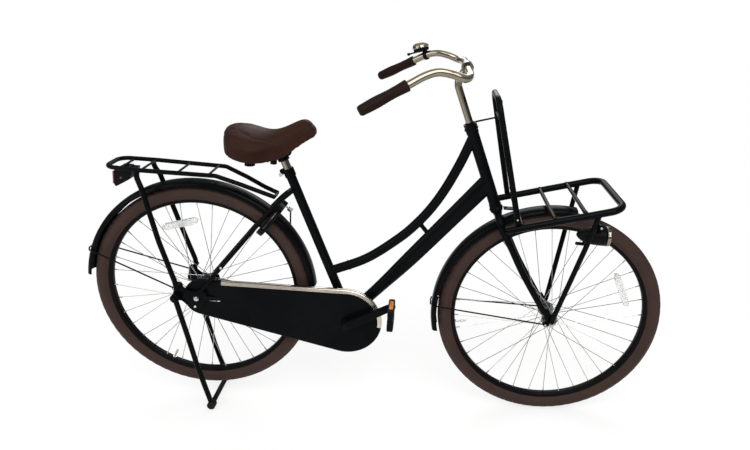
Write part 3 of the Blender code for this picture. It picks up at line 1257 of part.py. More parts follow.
def stand_angle():
    """Nose-down angle of the bike on its stand, and the height of the rear axle."""
    pitch = 0.04
    for _ in range(40):
        height = STAND_SHOE + STAND_FOOT[0] * math.sin(pitch) - STAND_FOOT[1] * math.cos(pitch)
        pitch = math.asin((height - WHEEL_RADIUS) / WHEELBASE)
    return pitch, height


PITCH, AXLE_HEIGHT = stand_angle()


def place_bike():
    """Tip the bike onto its stand, and centre it over the origin of the ground."""
    root = BODIES["bike"][0]
    root.rotation_euler = (0, PITCH, 0)
    root.location = (0, 0, AXLE_HEIGHT)
    bpy.context.view_layer.update()
    graph = bpy.context.evaluated_depsgraph_get()
    xs, zs = [], []
    for obj in PARTS.objects:
        if obj.type == "EMPTY":
            continue
        seen = obj.evaluated_get(graph)
        mesh = seen.to_mesh()
        for vertex in mesh.vertices:
            spot = seen.matrix_world @ vertex.co
            xs.append(spot.x)
            zs.append(spot.z)
        seen.to_mesh_clear()
    root.location = (-(min(xs) + max(xs)) / 2, 0, AXLE_HEIGHT - min(zs))


def build():
    make_bodies()
    main_frame()
    rear_stays()
    headset()
    bottom_bracket()
    drive()
    chain()
    chain_case()
    rear_axle()
    wheel("rear", (0, 0), "rear_wheel_axis", REAR_HUB_RADIUS, REAR_HUB_WIDTH, REAR_HUB_RADIUS + 0.010,
          (0.034, -0.028), REAR_PHASE, DRIVER_RADIUS)
    wheel("front", (WHEELBASE, 0), "front_wheel_axis", FRONT_HUB_RADIUS, FRONT_HUB_WIDTH,
          FRONT_HUB_RADIUS + HUB_FLANGE,
          (0.034, -0.034), FRONT_PHASE)
    spoke_reflector("rear", (0, 0), "rear_wheel_axis", math.radians(106.5), 0.2335)
    spoke_reflector("front", (WHEELBASE, 0), "front_wheel_axis", math.radians(26.0), 0.2450)
    fender("rear_fender", REAR_FENDER_SHIFT, REAR_FENDER_ARC, "bike")
    front = (WHEELBASE + FRONT_FENDER_SHIFT[0], FRONT_FENDER_SHIFT[1])
    fender("front_fender", front, FRONT_FENDER_ARC, "steering")
    fender_stays("rear_fender_stays", REAR_FENDER_SHIFT, 161.0, (-0.0700, 0.0690, 0.0300), "bike")
    fender_stays("front_fender_stays", front, 177.3, (FORK_EYELET[0], FORK_TIP_OUT + 0.0030,
                                                      FORK_EYELET[1]), "steering")
    rear_rack()
    tail_lamp()
    ring_lock()
    fork()
    front_rack()
    hoop()
    head_lamp()
    stem()
    handlebar()
    bell()
    saddle_cushion()
    saddle_hardware()
    stand()
    pedal("pedal_right", -1, CRANK_END, "pedal_axis_right")
    pedal("pedal_left", 1, CRANK_BACK, "pedal_axis_left")
    place_bike()


REAR_PHASE = math.radians(2.0)
FRONT_PHASE = math.radians(5.0)

build()
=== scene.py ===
from math import asin, atan2, copysign, cos, degrees, exp, hypot, pi, radians, sin, tan

import bmesh
import bpy
from mathutils import Matrix, Vector, noise

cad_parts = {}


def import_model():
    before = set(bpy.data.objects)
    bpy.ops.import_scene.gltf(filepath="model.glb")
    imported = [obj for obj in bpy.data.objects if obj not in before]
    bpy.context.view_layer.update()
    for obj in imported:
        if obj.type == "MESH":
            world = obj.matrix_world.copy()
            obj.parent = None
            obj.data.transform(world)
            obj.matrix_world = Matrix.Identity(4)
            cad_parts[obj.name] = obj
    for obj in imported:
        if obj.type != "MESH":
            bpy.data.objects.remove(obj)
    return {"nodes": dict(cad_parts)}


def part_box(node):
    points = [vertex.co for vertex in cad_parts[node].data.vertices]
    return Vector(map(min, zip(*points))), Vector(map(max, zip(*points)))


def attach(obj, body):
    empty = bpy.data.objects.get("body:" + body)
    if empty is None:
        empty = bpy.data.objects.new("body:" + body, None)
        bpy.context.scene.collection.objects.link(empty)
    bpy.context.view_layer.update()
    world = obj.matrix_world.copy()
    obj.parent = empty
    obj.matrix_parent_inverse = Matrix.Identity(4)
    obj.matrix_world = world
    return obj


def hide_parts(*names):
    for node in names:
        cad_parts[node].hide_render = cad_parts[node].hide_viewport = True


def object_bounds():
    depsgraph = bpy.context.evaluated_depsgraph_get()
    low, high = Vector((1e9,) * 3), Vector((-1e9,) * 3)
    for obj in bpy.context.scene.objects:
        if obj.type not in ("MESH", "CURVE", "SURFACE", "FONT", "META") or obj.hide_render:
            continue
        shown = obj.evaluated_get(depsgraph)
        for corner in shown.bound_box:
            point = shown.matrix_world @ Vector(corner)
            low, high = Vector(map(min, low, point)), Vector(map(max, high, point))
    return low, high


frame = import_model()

CAD_BOX = [list(corner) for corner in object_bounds()]
SIDES = (-1, 1)


def vec(*numbers):
    return Vector(numbers)


def middle(node):
    low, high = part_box(node)
    return (low + high) / 2


REAR_AXLE = middle("rear_tyre")
FRONT_AXLE = middle("front_tyre")
PITCH = atan2(REAR_AXLE.z - FRONT_AXLE.z, FRONT_AXLE.x - REAR_AXLE.x)
LEVEL = Matrix.Translation(REAR_AXLE) @ Matrix.Rotation(PITCH, 4, "Y")
WHEELBASE = (FRONT_AXLE - REAR_AXLE).length

# Camera at the photograph's place
CAMERA_PLACE = (0.1783, -1.7375, 1.3723)
CAMERA_TURN = (70.916, -0.598, 2.593)
CAMERA_LENS = 28.854
CAMERA_SHIFT = (-0.0407, -0.046)

# Sizes shared by the pieces
WHEEL_RADIUS = 0.3575
TYRE_HALF = 0.0225
RIM_EDGE = 0.3165
RIM_INNER = 0.301
SPOKES = 36
TUBE_ANGLE = radians(67.8)
SEAT_ANGLE = radians(67.55)
BRACKET = (0.481, -0.0565)
HEAD_FOOT = (0.9199, 0.36)
SEAT_TUBE_TOP = 0.433
DROPOUT_IN = 0.06
DROPOUT_OUT = 0.065
STAY_END_Y = 0.0625
FENDER_RADIUS = 0.377
CHAIN_LINE = 0.0445
CHAIN_PITCH = 0.0127
RING_RADIUS = 38 * CHAIN_PITCH / (2 * pi)
COG_RADIUS = 19 * CHAIN_PITCH / (2 * pi)
CRANK_LENGTH = 0.165
CRANK_ANGLE = radians(29.8)
CRANK_IN = 0.068
CRANK_OUT = 0.081
CASE_FRONT = (0.478, -0.054, 0.115)
CASE_REAR = (0.0135, -0.0055, 0.0635)
CASE_OUTER_Y = -0.0545
RACK_REAR = (0.94, 0.337)
RACK_FRONT_X = 1.265
RACK_HALF = 0.138
RACK_SLOPE = radians(15.7)
LOCK_ANGLE = radians(52.6)
LOCK_RING = 0.053
LOCK_SHIFT = 0.0174

AXIS_UP = vec(-cos(TUBE_ANGLE), 0, sin(TUBE_ANGLE))
AXIS_AHEAD = vec(sin(TUBE_ANGLE), 0, cos(TUBE_ANGLE))
SEAT_UP = vec(-cos(SEAT_ANGLE), 0, sin(SEAT_ANGLE))
HEAD_LOW = vec(HEAD_FOOT[0], 0, HEAD_FOOT[1])
HEAD_HIGH = HEAD_LOW + AXIS_UP * 0.25
CRANK_END = (
    BRACKET[0] + CRANK_LENGTH * cos(CRANK_ANGLE),
    BRACKET[1] + CRANK_LENGTH * sin(CRANK_ANGLE),
)
CRANK_BACK = (2 * BRACKET[0] - CRANK_END[0], 2 * BRACKET[1] - CRANK_END[1])


def head_axis(z):
    return HEAD_FOOT[0] - (z - HEAD_FOOT[1]) / tan(TUBE_ANGLE)


def seat_axis(z):
    return BRACKET[0] - (z - BRACKET[1]) / tan(SEAT_ANGLE)


def rack_height(x):
    return RACK_REAR[1] + (x - RACK_REAR[0]) * tan(RACK_SLOPE)


SEAT_TOP = vec(seat_axis(SEAT_TUBE_TOP), 0, SEAT_TUBE_TOP)


# Materials

def shader_node(tree, kind, inputs=None, **settings):
    made = tree.nodes.new("ShaderNode" + kind)
    for key, value in settings.items():
        setattr(made, key, value)
    for key, value in (inputs or {}).items():
        if isinstance(value, bpy.types.NodeSocket):
            tree.links.new(value, made.inputs[key])
        else:
            made.inputs[key].default_value = value
    return made


def ramp(tree, factor, low, high, start=0.35, end=0.7):
    made = shader_node(tree, "ValToRGB", {"Fac": factor})
    made.color_ramp.elements[0].position = start
    made.color_ramp.elements[0].color = (*low, 1)
    made.color_ramp.elements[1].position = end
    made.color_ramp.elements[1].color = (*high, 1)
    return made.outputs["Color"]


def spread(tree, value, low, high):
    made = shader_node(tree, "MapRange", {"Value": value, "From Min": 0.3, "From Max": 0.7,
                                          "To Min": low, "To Max": high})
    return made.outputs["Result"]


def bumps(tree, heights, start=None):
    """Bump layers, each a height socket, its depth in metres and its strength."""
    normal = start
    for height, depth, strength in heights:
        inputs = {"Height": height, "Distance": depth, "Strength": strength}
        if normal:
            inputs["Normal"] = normal
        normal = shader_node(tree, "Bump", inputs).outputs["Normal"]
    return normal


GLOSS_SPREAD = 0.22


def look(name, colour, second, roughness, metallic=0.0, blotch=9.0, grain=900.0, depth=0.00012,
         strength=0.25, stretch=(1, 1, 1), specular=0.5, cells=False, blend=(0.35, 0.7)):
    """A surface of two mixed colours, uneven gloss and a fine grain."""
    made = bpy.data.materials.new(name)
    made.use_nodes = True
    tree = made.node_tree
    shader = tree.nodes["Principled BSDF"]
    coords = shader_node(tree, "TexCoord").outputs["Object"]
    place = shader_node(tree, "Mapping", {"Vector": coords, "Scale": stretch}).outputs["Vector"]
    wide = shader_node(tree, "TexNoise", {"Vector": place, "Scale": blotch, "Detail": 5.0}).outputs["Fac"]
    if cells:
        fine = shader_node(tree, "TexVoronoi", {"Vector": place, "Scale": grain}).outputs["Distance"]
    else:
        fine = shader_node(tree, "TexNoise", {"Vector": place, "Scale": grain, "Detail": 3.0}).outputs["Fac"]
    tree.links.new(ramp(tree, wide, colour, second, *blend), shader.inputs["Base Color"])
    rough = spread(tree, wide, roughness * (1 - GLOSS_SPREAD), roughness * (1 + GLOSS_SPREAD))
    tree.links.new(rough, shader.inputs["Roughness"])
    tree.links.new(bumps(tree, [(fine, depth, strength)]), shader.inputs["Normal"])
    shader.inputs["Metallic"].default_value = metallic
    shader.inputs["Specular IOR Level"].default_value = specular
    return made


def lens_look(name, colour, cells, clear):
    """Moulded lens: coloured or clear plastic over a grid of small facets."""
    made = look(name, colour, [c * 0.8 for c in colour], 0.12, blotch=40, grain=cells, depth=0.0012,
                strength=0.8, cells=True, specular=0.6)
    shader = made.node_tree.nodes["Principled BSDF"]
    shader.inputs["Transmission Weight"].default_value = clear
    shader.inputs["IOR"].default_value = 1.49
    return made


def leather_look(name, colour, second, roughness, crease):
    """Two sizes of pebbled grain with long soft creases."""
    made = look(name, colour, second, roughness, blotch=14, grain=420, depth=0.0004, strength=0.45,
                cells=True, specular=0.07, blend=(0.3, 0.75))
    tree = made.node_tree
    shader = tree.nodes["Principled BSDF"]
    coords = tree.nodes["Texture Coordinate"].outputs["Object"]
    fine = shader_node(tree, "TexVoronoi", {"Vector": coords, "Scale": 1150.0}).outputs["Distance"]
    soft = shader_node(tree, "TexNoise", {"Vector": coords, "Scale": crease, "Detail": 6.0,
                                          "Distortion": 1.6}).outputs["Fac"]
    first = shader.inputs["Normal"].links[0].from_socket
    normal = bumps(tree, [(fine, 0.0002, 0.35), (soft, 0.0022, 0.35)], first)
    tree.links.new(normal, shader.inputs["Normal"])
    return made


ENAMEL = look("black_enamel", (0.0018, 0.0021, 0.0025), (0.0032, 0.0036, 0.0041), 0.24,
    grain=1400, depth=0.00006, strength=0.1, specular=0.035)
RIM_BLACK = look("rim_black", (0.0022, 0.0022, 0.0024), (0.004, 0.004, 0.0042), 0.36,
    grain=1100, specular=0.05)
PLASTIC = look("black_plastic", (0.0026, 0.0026, 0.0028), (0.0052, 0.0052, 0.0055), 0.4,
    grain=1500, depth=0.0002, strength=0.35, specular=0.05)
RUBBER = look("black_rubber", (0.004, 0.004, 0.004), (0.008, 0.0077, 0.0077), 0.62, grain=900,
    depth=0.0003, strength=0.4, specular=0.12)
STEEL = look("bright_steel", (0.4, 0.4, 0.39), (0.54, 0.53, 0.51), 0.24, metallic=1.0,
    grain=600, depth=0.00005, strength=0.2, blotch=30)
SPOKE_STEEL = look("spoke_steel", (0.3, 0.3, 0.3), (0.42, 0.42, 0.41), 0.24, metallic=1.0,
    blotch=30)
NICKEL = look("warm_nickel", (0.205, 0.182, 0.14), (0.275, 0.248, 0.198), 0.11, metallic=1.0,
    grain=240, depth=0.00003, strength=0.08, blotch=7)
TRIM_NICKEL = look("trim_nickel", (0.52, 0.47, 0.4), (0.62, 0.57, 0.5), 0.16, metallic=1.0,
    grain=400, depth=0.00003, strength=0.08, blotch=12)
DARK_STEEL = look("dark_steel", (0.07, 0.066, 0.062), (0.15, 0.14, 0.135), 0.38,
    metallic=1.0, blotch=60)
TYRE_BROWN = look("brown_tyre", (0.028, 0.0145, 0.0112), (0.041, 0.0215, 0.0166), 0.66, grain=800,
    depth=0.0003, strength=0.4, specular=0.2, blotch=22)
LEATHER = leather_look("brown_leather", (0.0175, 0.0058, 0.0034), (0.03, 0.0118, 0.007), 0.5,
    26.0)
GRIP_LEATHER = leather_look("brown_grip", (0.0092, 0.004, 0.003), (0.015, 0.0066, 0.005), 0.58,
    60.0)
THREAD = look("dark_thread", (0.011, 0.0048, 0.0032), (0.018, 0.0078, 0.005), 0.7, grain=2200,
    depth=0.0004, strength=0.6)
STRAP = look("black_strap", (0.008, 0.008, 0.009), (0.02, 0.02, 0.021), 0.65, grain=1700,
    depth=0.0004, strength=0.6, stretch=(1, 3, 1))
PALE_THREAD = look("pale_strap_line", (0.42, 0.41, 0.38), (0.55, 0.54, 0.5), 0.6, grain=1900,
    depth=0.0003, strength=0.5)
RED_LENS = lens_look("red_lens", (0.42, 0.006, 0.006), 260, 0.35)
AMBER_LENS = lens_look("amber_lens", (0.75, 0.22, 0.01), 420, 0.25)
CLEAR_LENS = lens_look("clear_lens", (0.88, 0.9, 0.88), 260, 0.55)
MIRROR = look("lamp_reflector", (0.85, 0.85, 0.84), (0.9, 0.9, 0.89), 0.06, metallic=1.0,
    blotch=12)
PALE_FLOOR = look("pale_floor", (0.84, 0.84, 0.83), (0.86, 0.86, 0.855), 0.8, blotch=1.5, grain=60,
    depth=0.0002, strength=0.1, specular=0.1)


# Modelling helpers

def circle(steps):
    """Cosine and sine of evenly spaced angles round a full turn."""
    return [(cos(2 * pi * k / steps), sin(2 * pi * k / steps)) for k in range(steps)]


def arch(half):
    """A path from right to left, given by its left half from the end to the middle."""
    left = [Vector(p) for p in half]
    return [vec(p.x, -p.y, p.z) for p in left] + left[::-1]


def twin(half):
    """A profile of (radius, height), given by the half above its middle."""
    return half + [(r, -h) for r, h in reversed(half[:-1])]


def span(side, *ends):
    """Two places on one side of the bicycle, the right-hand one first."""
    return sorted(side * end for end in ends)


def from_bmesh(shape, name="piece"):
    mesh = bpy.data.meshes.new(name)
    bmesh.ops.recalc_face_normals(shape, faces=shape.faces)
    shape.to_mesh(mesh)
    shape.free()
    obj = bpy.data.objects.new(name, mesh)
    bpy.context.scene.collection.objects.link(obj)
    return obj


def evaluated(obj):
    """The mesh of an object with its modifiers applied; the object goes."""
    bpy.context.view_layer.update()
    graph = bpy.context.evaluated_depsgraph_get()
    mesh = bpy.data.meshes.new_from_object(obj.evaluated_get(graph))
    mesh.transform(obj.matrix_world)
    bpy.data.objects.remove(obj)
    return mesh


def settled(obj):
    """The evaluated shape as a plain mesh object in place of the given one."""
    shape = bmesh.new()
    shape.from_mesh(evaluated(obj))
    bmesh.ops.remove_doubles(shape, verts=shape.verts, dist=1e-5)
    return from_bmesh(shape)


def tube(points, radius, sides=20, sizes=None, closed=False):
    """A round bar along points; sizes are shares of the radius."""
    path = [Vector(p) for p in points]
    last = len(path) - 1
    side = None
    rings = []
    for i, point in enumerate(path):
        before = path[i - 1] if i > 0 or closed else point
        after = path[(i + 1) % len(path)] if i < last or closed else point
        way = (after - before).normalized()
        side = (side - way * side.dot(way)).normalized() if side else way.orthogonal().normalized()
        other = way.cross(side)
        size = radius * (sizes[i] if sizes else 1)
        rings.append([point + (side * c + other * s) * size for c, s in circle(sides)])
    return lofted(rings, closed)


def smooth(points, steps=8):
    """Points of a Catmull-Rom curve through the given ones."""
    given = [Vector(p) for p in points]
    ends = [2 * given[0] - given[1]] + given + [2 * given[-1] - given[-2]]
    path = []
    for a, b, c, d in zip(ends, ends[1:], ends[2:], ends[3:]):
        for i in range(steps):
            t = i / steps
            path.append(0.5 * (2 * b + (c - a) * t + (2 * a - 5 * b + 4 * c - d) * t * t
                               + (3 * b - a - 3 * c + d) * t ** 3))
    return path + [given[-1]]


def rounded(points, radius, steps=8):
    """A path of straight runs whose inner corners are arcs."""
    given = [Vector(p) for p in points]
    path = [given[0]]
    for before, corner, after in zip(given, given[1:], given[2:]):
        a = (before - corner).normalized()
        b = (after - corner).normalized()
        half = a.angle(b) / 2
        if half > radians(87):
            path.append(corner)
            continue
        reach = min(radius / tan(half), 0.48 * (before - corner).length, 0.48 * (after - corner).length)
        centre = corner + (a + b).normalized() * reach / cos(half)
        size = reach * tan(half)
        start, end = corner + a * reach - centre, corner + b * reach - centre
        turn = start.angle(end)
        for i in range(steps + 1):
            t = i / steps
            spot = (start * sin((1 - t) * turn) + end * sin(t * turn)) / sin(turn)
            path.append(centre + spot.normalized() * size)
    return path + [given[-1]]


def mirrored(half):
    """A left half path from the middle outwards, with its mirror image before it."""
    return [vec(p[0], -p[1], p[2]) for p in reversed(half[1:])] + [Vector(p) for p in half]


def frame_to(direction, place):
    z = Vector(direction).normalized()
    if abs(z.y) < 0.9:
        x = vec(0, 1, 0).cross(z).normalized()
        y = z.cross(x)
    else:
        y = z.cross(vec(1, 0, 0)).normalized()
        x = y.cross(z)
    turn = Matrix((x, y, z)).transposed().to_4x4()
    return Matrix.Translation(Vector(place)) @ turn


def lathe(profile, centre, direction=(0, 1, 0), steps=48, wave=None):
    """A profile of (radius, height) turned about a direction; wave(angle, height) scales radii.
    A profile that starts or ends on the axis is closed there, any other runs round to its start."""
    shape = bmesh.new()
    place = frame_to(direction, centre)
    rings = []
    for r, h in profile:
        if r < 1e-7:
            rings.append([shape.verts.new(place @ vec(0, 0, h))])
            continue
        ring = []
        for i in range(steps):
            a = 2 * pi * i / steps
            size = r * (wave(a, h) if wave else 1)
            ring.append(shape.verts.new(place @ vec(size * cos(a), size * sin(a), h)))
        rings.append(ring)
    pairs = list(zip(rings, rings[1:]))
    if len(rings[0]) > 1 and len(rings[-1]) > 1:
        pairs.append((rings[-1], rings[0]))
    for first, second in pairs:
        for i in range(steps):
            j = (i + 1) % steps
            face = []
            for ring, k in ((first, i), (first, j), (second, j), (second, i)):
                corner = ring[k % len(ring)]
                if corner not in face:
                    face.append(corner)
            if len(face) > 2:
                shape.faces.new(face)
    return from_bmesh(shape)


def rod(start, end, radius, sides=24, end_radius=None, edge=0.0):
    """A cylinder or cone between two points, with its edges broken by edge."""
    start, end = Vector(start), Vector(end)
    length = (end - start).length
    last = radius if end_radius is None else end_radius
    edge = min(edge, radius * 0.45, last * 0.45, length * 0.45)
    if edge > 0:
        profile = [(0, 0), (radius - edge, 0), (radius, edge), (last, length - edge), (last - edge, length),
                   (0, length)]
    else:
        profile = [(0, 0), (radius, 0), (last, length), (0, length)]
    return lathe(profile, start, end - start, sides)


def pin(base, way, start, end, radius, sides=24, edge=0.0):
    """A rod along a direction, between two distances from its base."""
    return rod(base + way * start, base + way * end, radius, sides, edge=edge)


def cross_rod(x, z, y0, y1, radius, sides=24, edge=0.0):
    return rod((x, y0, z), (x, y1, z), radius, sides, edge=edge)


def softened(obj, width, segments=2, angle=32):
    """The shape with its sharp edges rounded."""
    shape = bmesh.new()
    shape.from_mesh(obj.data)
    bpy.data.objects.remove(obj)
    edges = [e for e in shape.edges if len(e.link_faces) == 2 and e.calc_face_angle() > radians(angle)]
    bmesh.ops.bevel(shape, geom=edges, offset=width, segments=segments, profile=0.5, affect="EDGES",
                    clamp_overlap=True)
    return from_bmesh(shape)


def box(centre, size, direction=(0, 0, 1), edge=0.0008):
    shape = bmesh.new()
    bmesh.ops.create_cube(shape, size=1, matrix=frame_to(direction, centre) @ Matrix.Diagonal((*size, 1)))
    made = from_bmesh(shape)
    return softened(made, edge, 3) if edge else made


def plate(outline, y0, y1, edge=0.0006):
    """A flat outline of (x, z) points, as thick as from y0 to y1."""
    shape = bmesh.new()
    low = [shape.verts.new((x, y0, z)) for x, z in outline]
    high = [shape.verts.new((x, y1, z)) for x, z in outline]
    count = len(outline)
    for i in range(count):
        j = (i + 1) % count
        shape.faces.new((low[i], low[j], high[j], high[i]))
    shape.faces.new(list(reversed(low)))
    shape.faces.new(high)
    made = from_bmesh(shape)
    return softened(made, edge, 2) if edge else made


def lofted(rings, closed=False):
    """A shape through rings of as many points each; closed joins the last ring to the first."""
    shape = bmesh.new()
    loops = [[shape.verts.new(p) for p in ring] for ring in rings]
    pairs = list(zip(loops, loops[1:]))
    if closed:
        pairs.append((loops[-1], loops[0]))
    for a, b in pairs:
        for i in range(len(a)):
            j = (i + 1) % len(a)
            shape.faces.new((a[i], a[j], b[j], b[i]))
    if not closed:
        shape.faces.new(list(reversed(loops[0])))
        shape.faces.new(loops[-1])
    return from_bmesh(shape)


def together(pieces):
    """Several shapes as one object."""
    shape = bmesh.new()
    for piece in pieces:
        shape.from_mesh(piece.data)
        bpy.data.objects.remove(piece)
    return from_bmesh(shape)


def cut(base, *cutters):
    for cutter in cutters:
        modifier = base.modifiers.new("cut", "BOOLEAN")
        modifier.operation = "DIFFERENCE"
        modifier.object = cutter
    made = settled(base)
    for cutter in cutters:
        bpy.data.objects.remove(cutter)
    return made


def arc(centre, radius, start, end, steps):
    path = []
    for i in range(steps + 1):
        a = radians(start + (end - start) * i / steps)
        path.append((centre[0] + radius * cos(a), centre[1] + radius * sin(a)))
    return path


def belt(first, second, grow=0.0, steps=40):
    """Outline round two circles (x, z, radius), the first one ahead of the second."""
    ax, az, ar = first
    bx, bz, br = second
    along = degrees(atan2(az - bz, ax - bx))
    lean = degrees(asin((ar - br) / hypot(ax - bx, az - bz)))
    front = arc((ax, az), ar + grow, along - 90 - lean, along + 90 + lean, steps)
    rear = arc((bx, bz), br + grow, along + 90 + lean, along + 270 - lean, steps)
    return front + rear


def both_sides(make):
    return [make(side) for side in SIDES]


def fit_out(name, shape, body, material, stands_for=(), sharp=35):
    """Name a finished shape, tip it into the row frame and hang it on its body."""
    obj = together(shape) if isinstance(shape, list) else shape
    obj.name = name
    obj.data.name = name
    obj.data.materials.clear()
    obj.data.materials.append(material)
    obj.data.transform(LEVEL)
    obj.data.shade_smooth()
    obj.data.set_sharp_from_angle(angle=radians(sharp))
    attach(obj, body)
    if stands_for:
        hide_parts(*stands_for)
    return obj


def black(name, shape, body, *stands_for):
    return fit_out(name, shape, body, ENAMEL, stands_for)


# Wheels

# Angle from the crown in degrees, and depth: 0 block, 1 groove, 2 side wall, 3 rib
TREAD = ((8.0, 0), (9.0, 1), (12.0, 1), (13.0, 0), (28.0, 0), (29.0, 1), (32.0, 1), (33.0, 0), (50.0, 0),
         (52.0, 2), (60.0, 2), (70.0, 2), (74.0, 3), (78.0, 3), (81.0, 2), (92.0, 2), (102.0, 2), (112.0, 2),
         (120.0, 2), (126.0, 2))
TREAD_STEPS = 432
TREAD_DEPTH = 0.0011


BEAD_RADIUS = 0.31
BEAD_HALF = 0.0098
SIDE_DEPTH = 0.0007


def tyre(prefix, hub, body):
    """Tyre with a centre rib, two rows of blocks on each side and a rib on the side wall."""
    section = [(-a, kind) for a, kind in reversed(TREAD)] + [(0.0, 0), *TREAD]
    rings = []
    for i, (c, s) in enumerate(circle(TREAD_STEPS)):
        out = vec(c, 0, s)
        ring = []
        for angle, kind in section:
            row = 0 if abs(angle) < 8.5 else (1 if abs(angle) < 30 else 2)
            between = (i + 2 * row) % 6 < 2 and row > 0 and kind == 0
            size = TYRE_HALF
            if kind == 1 or between:
                size -= TREAD_DEPTH
            elif kind == 2:
                size -= SIDE_DEPTH
            a = radians(angle)
            ring.append(hub + out * (WHEEL_RADIUS - TYRE_HALF + size * cos(a)) + vec(0, size * sin(a), 0))
        ring += [hub + out * BEAD_RADIUS + vec(0, y, 0) for y in (BEAD_HALF, -BEAD_HALF)]
        rings.append(ring)
    fit_out(prefix + "_tyre_tread", lofted(rings, True), body, TYRE_BROWN, [prefix + "_tyre"], 30)


def rim(prefix, hub, body, valve_angle):
    half = [(RIM_EDGE, 0.0108), (RIM_EDGE, 0.0121), (0.316, 0.0125), (0.308, 0.0123), (0.305, 0.0113),
            (0.3025, 0.0092), (0.3015, 0.006), (0.3012, 0.0)]
    profile = [(0.3095, 0.0104)] + twin(half) + [(0.3095, -0.0104)]
    fit_out(prefix + "_rim_band", lathe(profile, hub, steps=144), body, RIM_BLACK, [prefix + "_rim"])
    a = radians(valve_angle)
    out = vec(cos(a), 0, sin(a))
    foot = hub + out * RIM_INNER
    valve = [
        rod(foot, foot - out * 0.003, 0.0062, 6),
        rod(foot - out * 0.003, foot - out * 0.024, 0.003, 16),
        rod(foot - out * 0.018, foot - out * 0.036, 0.004, 16, 0.0034, edge=0.001),
    ]
    fit_out(prefix + "_valve", valve, body, STEEL)


HOLE_INSET = 0.003
HOLE_PHASE = 0.2
SPOKE_REACH = 0.3008
SPOKE_RADIUS = 0.00105
LACING_ANGLE = radians(60)


def spokes(prefix, hub, body, flange_radius, flanges, phase):
    """Crossed wires with their heads in the flanges and nipples in the rim."""
    wires, nipples = [], []
    for i in range(SPOKES):
        flange = flanges[1 - i % 2]
        leans = 1 if (i // 2) % 2 else -1
        rim_angle = radians(phase) + 2 * pi * i / SPOKES
        hub_angle = rim_angle + leans * LACING_ANGLE
        hole = flange_radius - HOLE_INSET
        start = hub + vec(hole * cos(hub_angle), flange + leans * 0.0018, hole * sin(hub_angle))
        across = copysign(0.003, flange) + leans * 0.0013
        stop = hub + vec(SPOKE_REACH * cos(rim_angle), across, SPOKE_REACH * sin(rim_angle))
        along = (stop - start).normalized()
        head = start + vec(0, -leans * 0.0036, 0)
        bend = start - vec(0, leans * 0.0008, 0)
        wires.append(tube([head, bend, start + along * 0.0012, stop], SPOKE_RADIUS, 8))
        wires.append(rod(head + vec(0, -leans * 0.0008, 0), head, 0.002, 10))
        nipples.append(rod(stop - along * 0.0125, stop, 0.0017, 8, 0.0021))
    fit_out(prefix + "_spokes", wires, body, SPOKE_STEEL)
    fit_out(prefix + "_nipples", nipples, body, STEEL)


def hub_holes(flange_radius, flange, hub):
    """Short cutters for the spoke holes of one flange."""
    rods = []
    for i in range(SPOKES // 2):
        a = HOLE_PHASE + 2 * pi * i / (SPOKES // 2)
        x = hub.x + (flange_radius - HOLE_INSET) * cos(a)
        z = hub.z + (flange_radius - HOLE_INSET) * sin(a)
        rods.append(cross_rod(x, z, flange - 0.004, flange + 0.004, 0.0014, 8))
    return together(rods)


def hub_shell(prefix, profile, hub, flange_radius, flanges):
    holes = [hub_holes(flange_radius, y, hub) for y in flanges]
    shell = cut(lathe(profile, hub, steps=56), *holes)
    fit_out(prefix + "_hub_shell", shell, prefix + "_wheel", DARK_STEEL, [prefix + "_hub"])


FRONT_HUB = twin([
    (0.0056, 0.0365), (0.0095, 0.0365), (0.0128, 0.0392), (0.015, 0.037), (0.0155, 0.0357), (0.0252, 0.0357),
    (0.026, 0.0349), (0.026, 0.0331), (0.0252, 0.0323), (0.016, 0.0318), (0.0138, 0.028), (0.0126, 0.018),
    (0.0124, 0.0)])
REAR_HUB = [
    (0.0058, 0.0462), (0.018, 0.0462), (0.0235, 0.043), (0.024, 0.04), (0.0242, 0.036), (0.0332, 0.0356),
    (0.034, 0.035), (0.034, 0.033), (0.0332, 0.0323), (0.0246, 0.0318), (0.0236, 0.026), (0.0232, 0.0),
    (0.0236, -0.021), (0.0246, -0.0258), (0.0332, -0.0263), (0.034, -0.027), (0.034, -0.029),
    (0.0332, -0.0296), (0.024, -0.03), (0.0236, -0.0318), (0.0168, -0.0322), (0.0168, -0.0498),
    (0.007, -0.05), (0.0058, -0.05)]
WHEELS = (
    ("rear", vec(0, 0, 0), REAR_HUB, 0.034, (0.034, -0.028), 2.0, 247.0),
    ("front", vec(WHEELBASE, 0, 0), FRONT_HUB, 0.026, (0.034, -0.034), 5.0, 190.0),
)


def wheels():
    for prefix, hub, profile, flange_radius, flanges, phase, valve in WHEELS:
        body = prefix + "_wheel"
        tyre(prefix, hub, body)
        rim(prefix, hub, body, valve)
        spokes(prefix, hub, body, flange_radius, flanges, phase)
    for prefix, hub, profile, flange_radius, flanges, *rest in reversed(WHEELS):
        hub_shell(prefix, profile, hub, flange_radius, flanges)


# Fenders

FENDER_HALF = 0.0275
FENDER_STEP = 1.5
STAY_WIRE = 0.0024


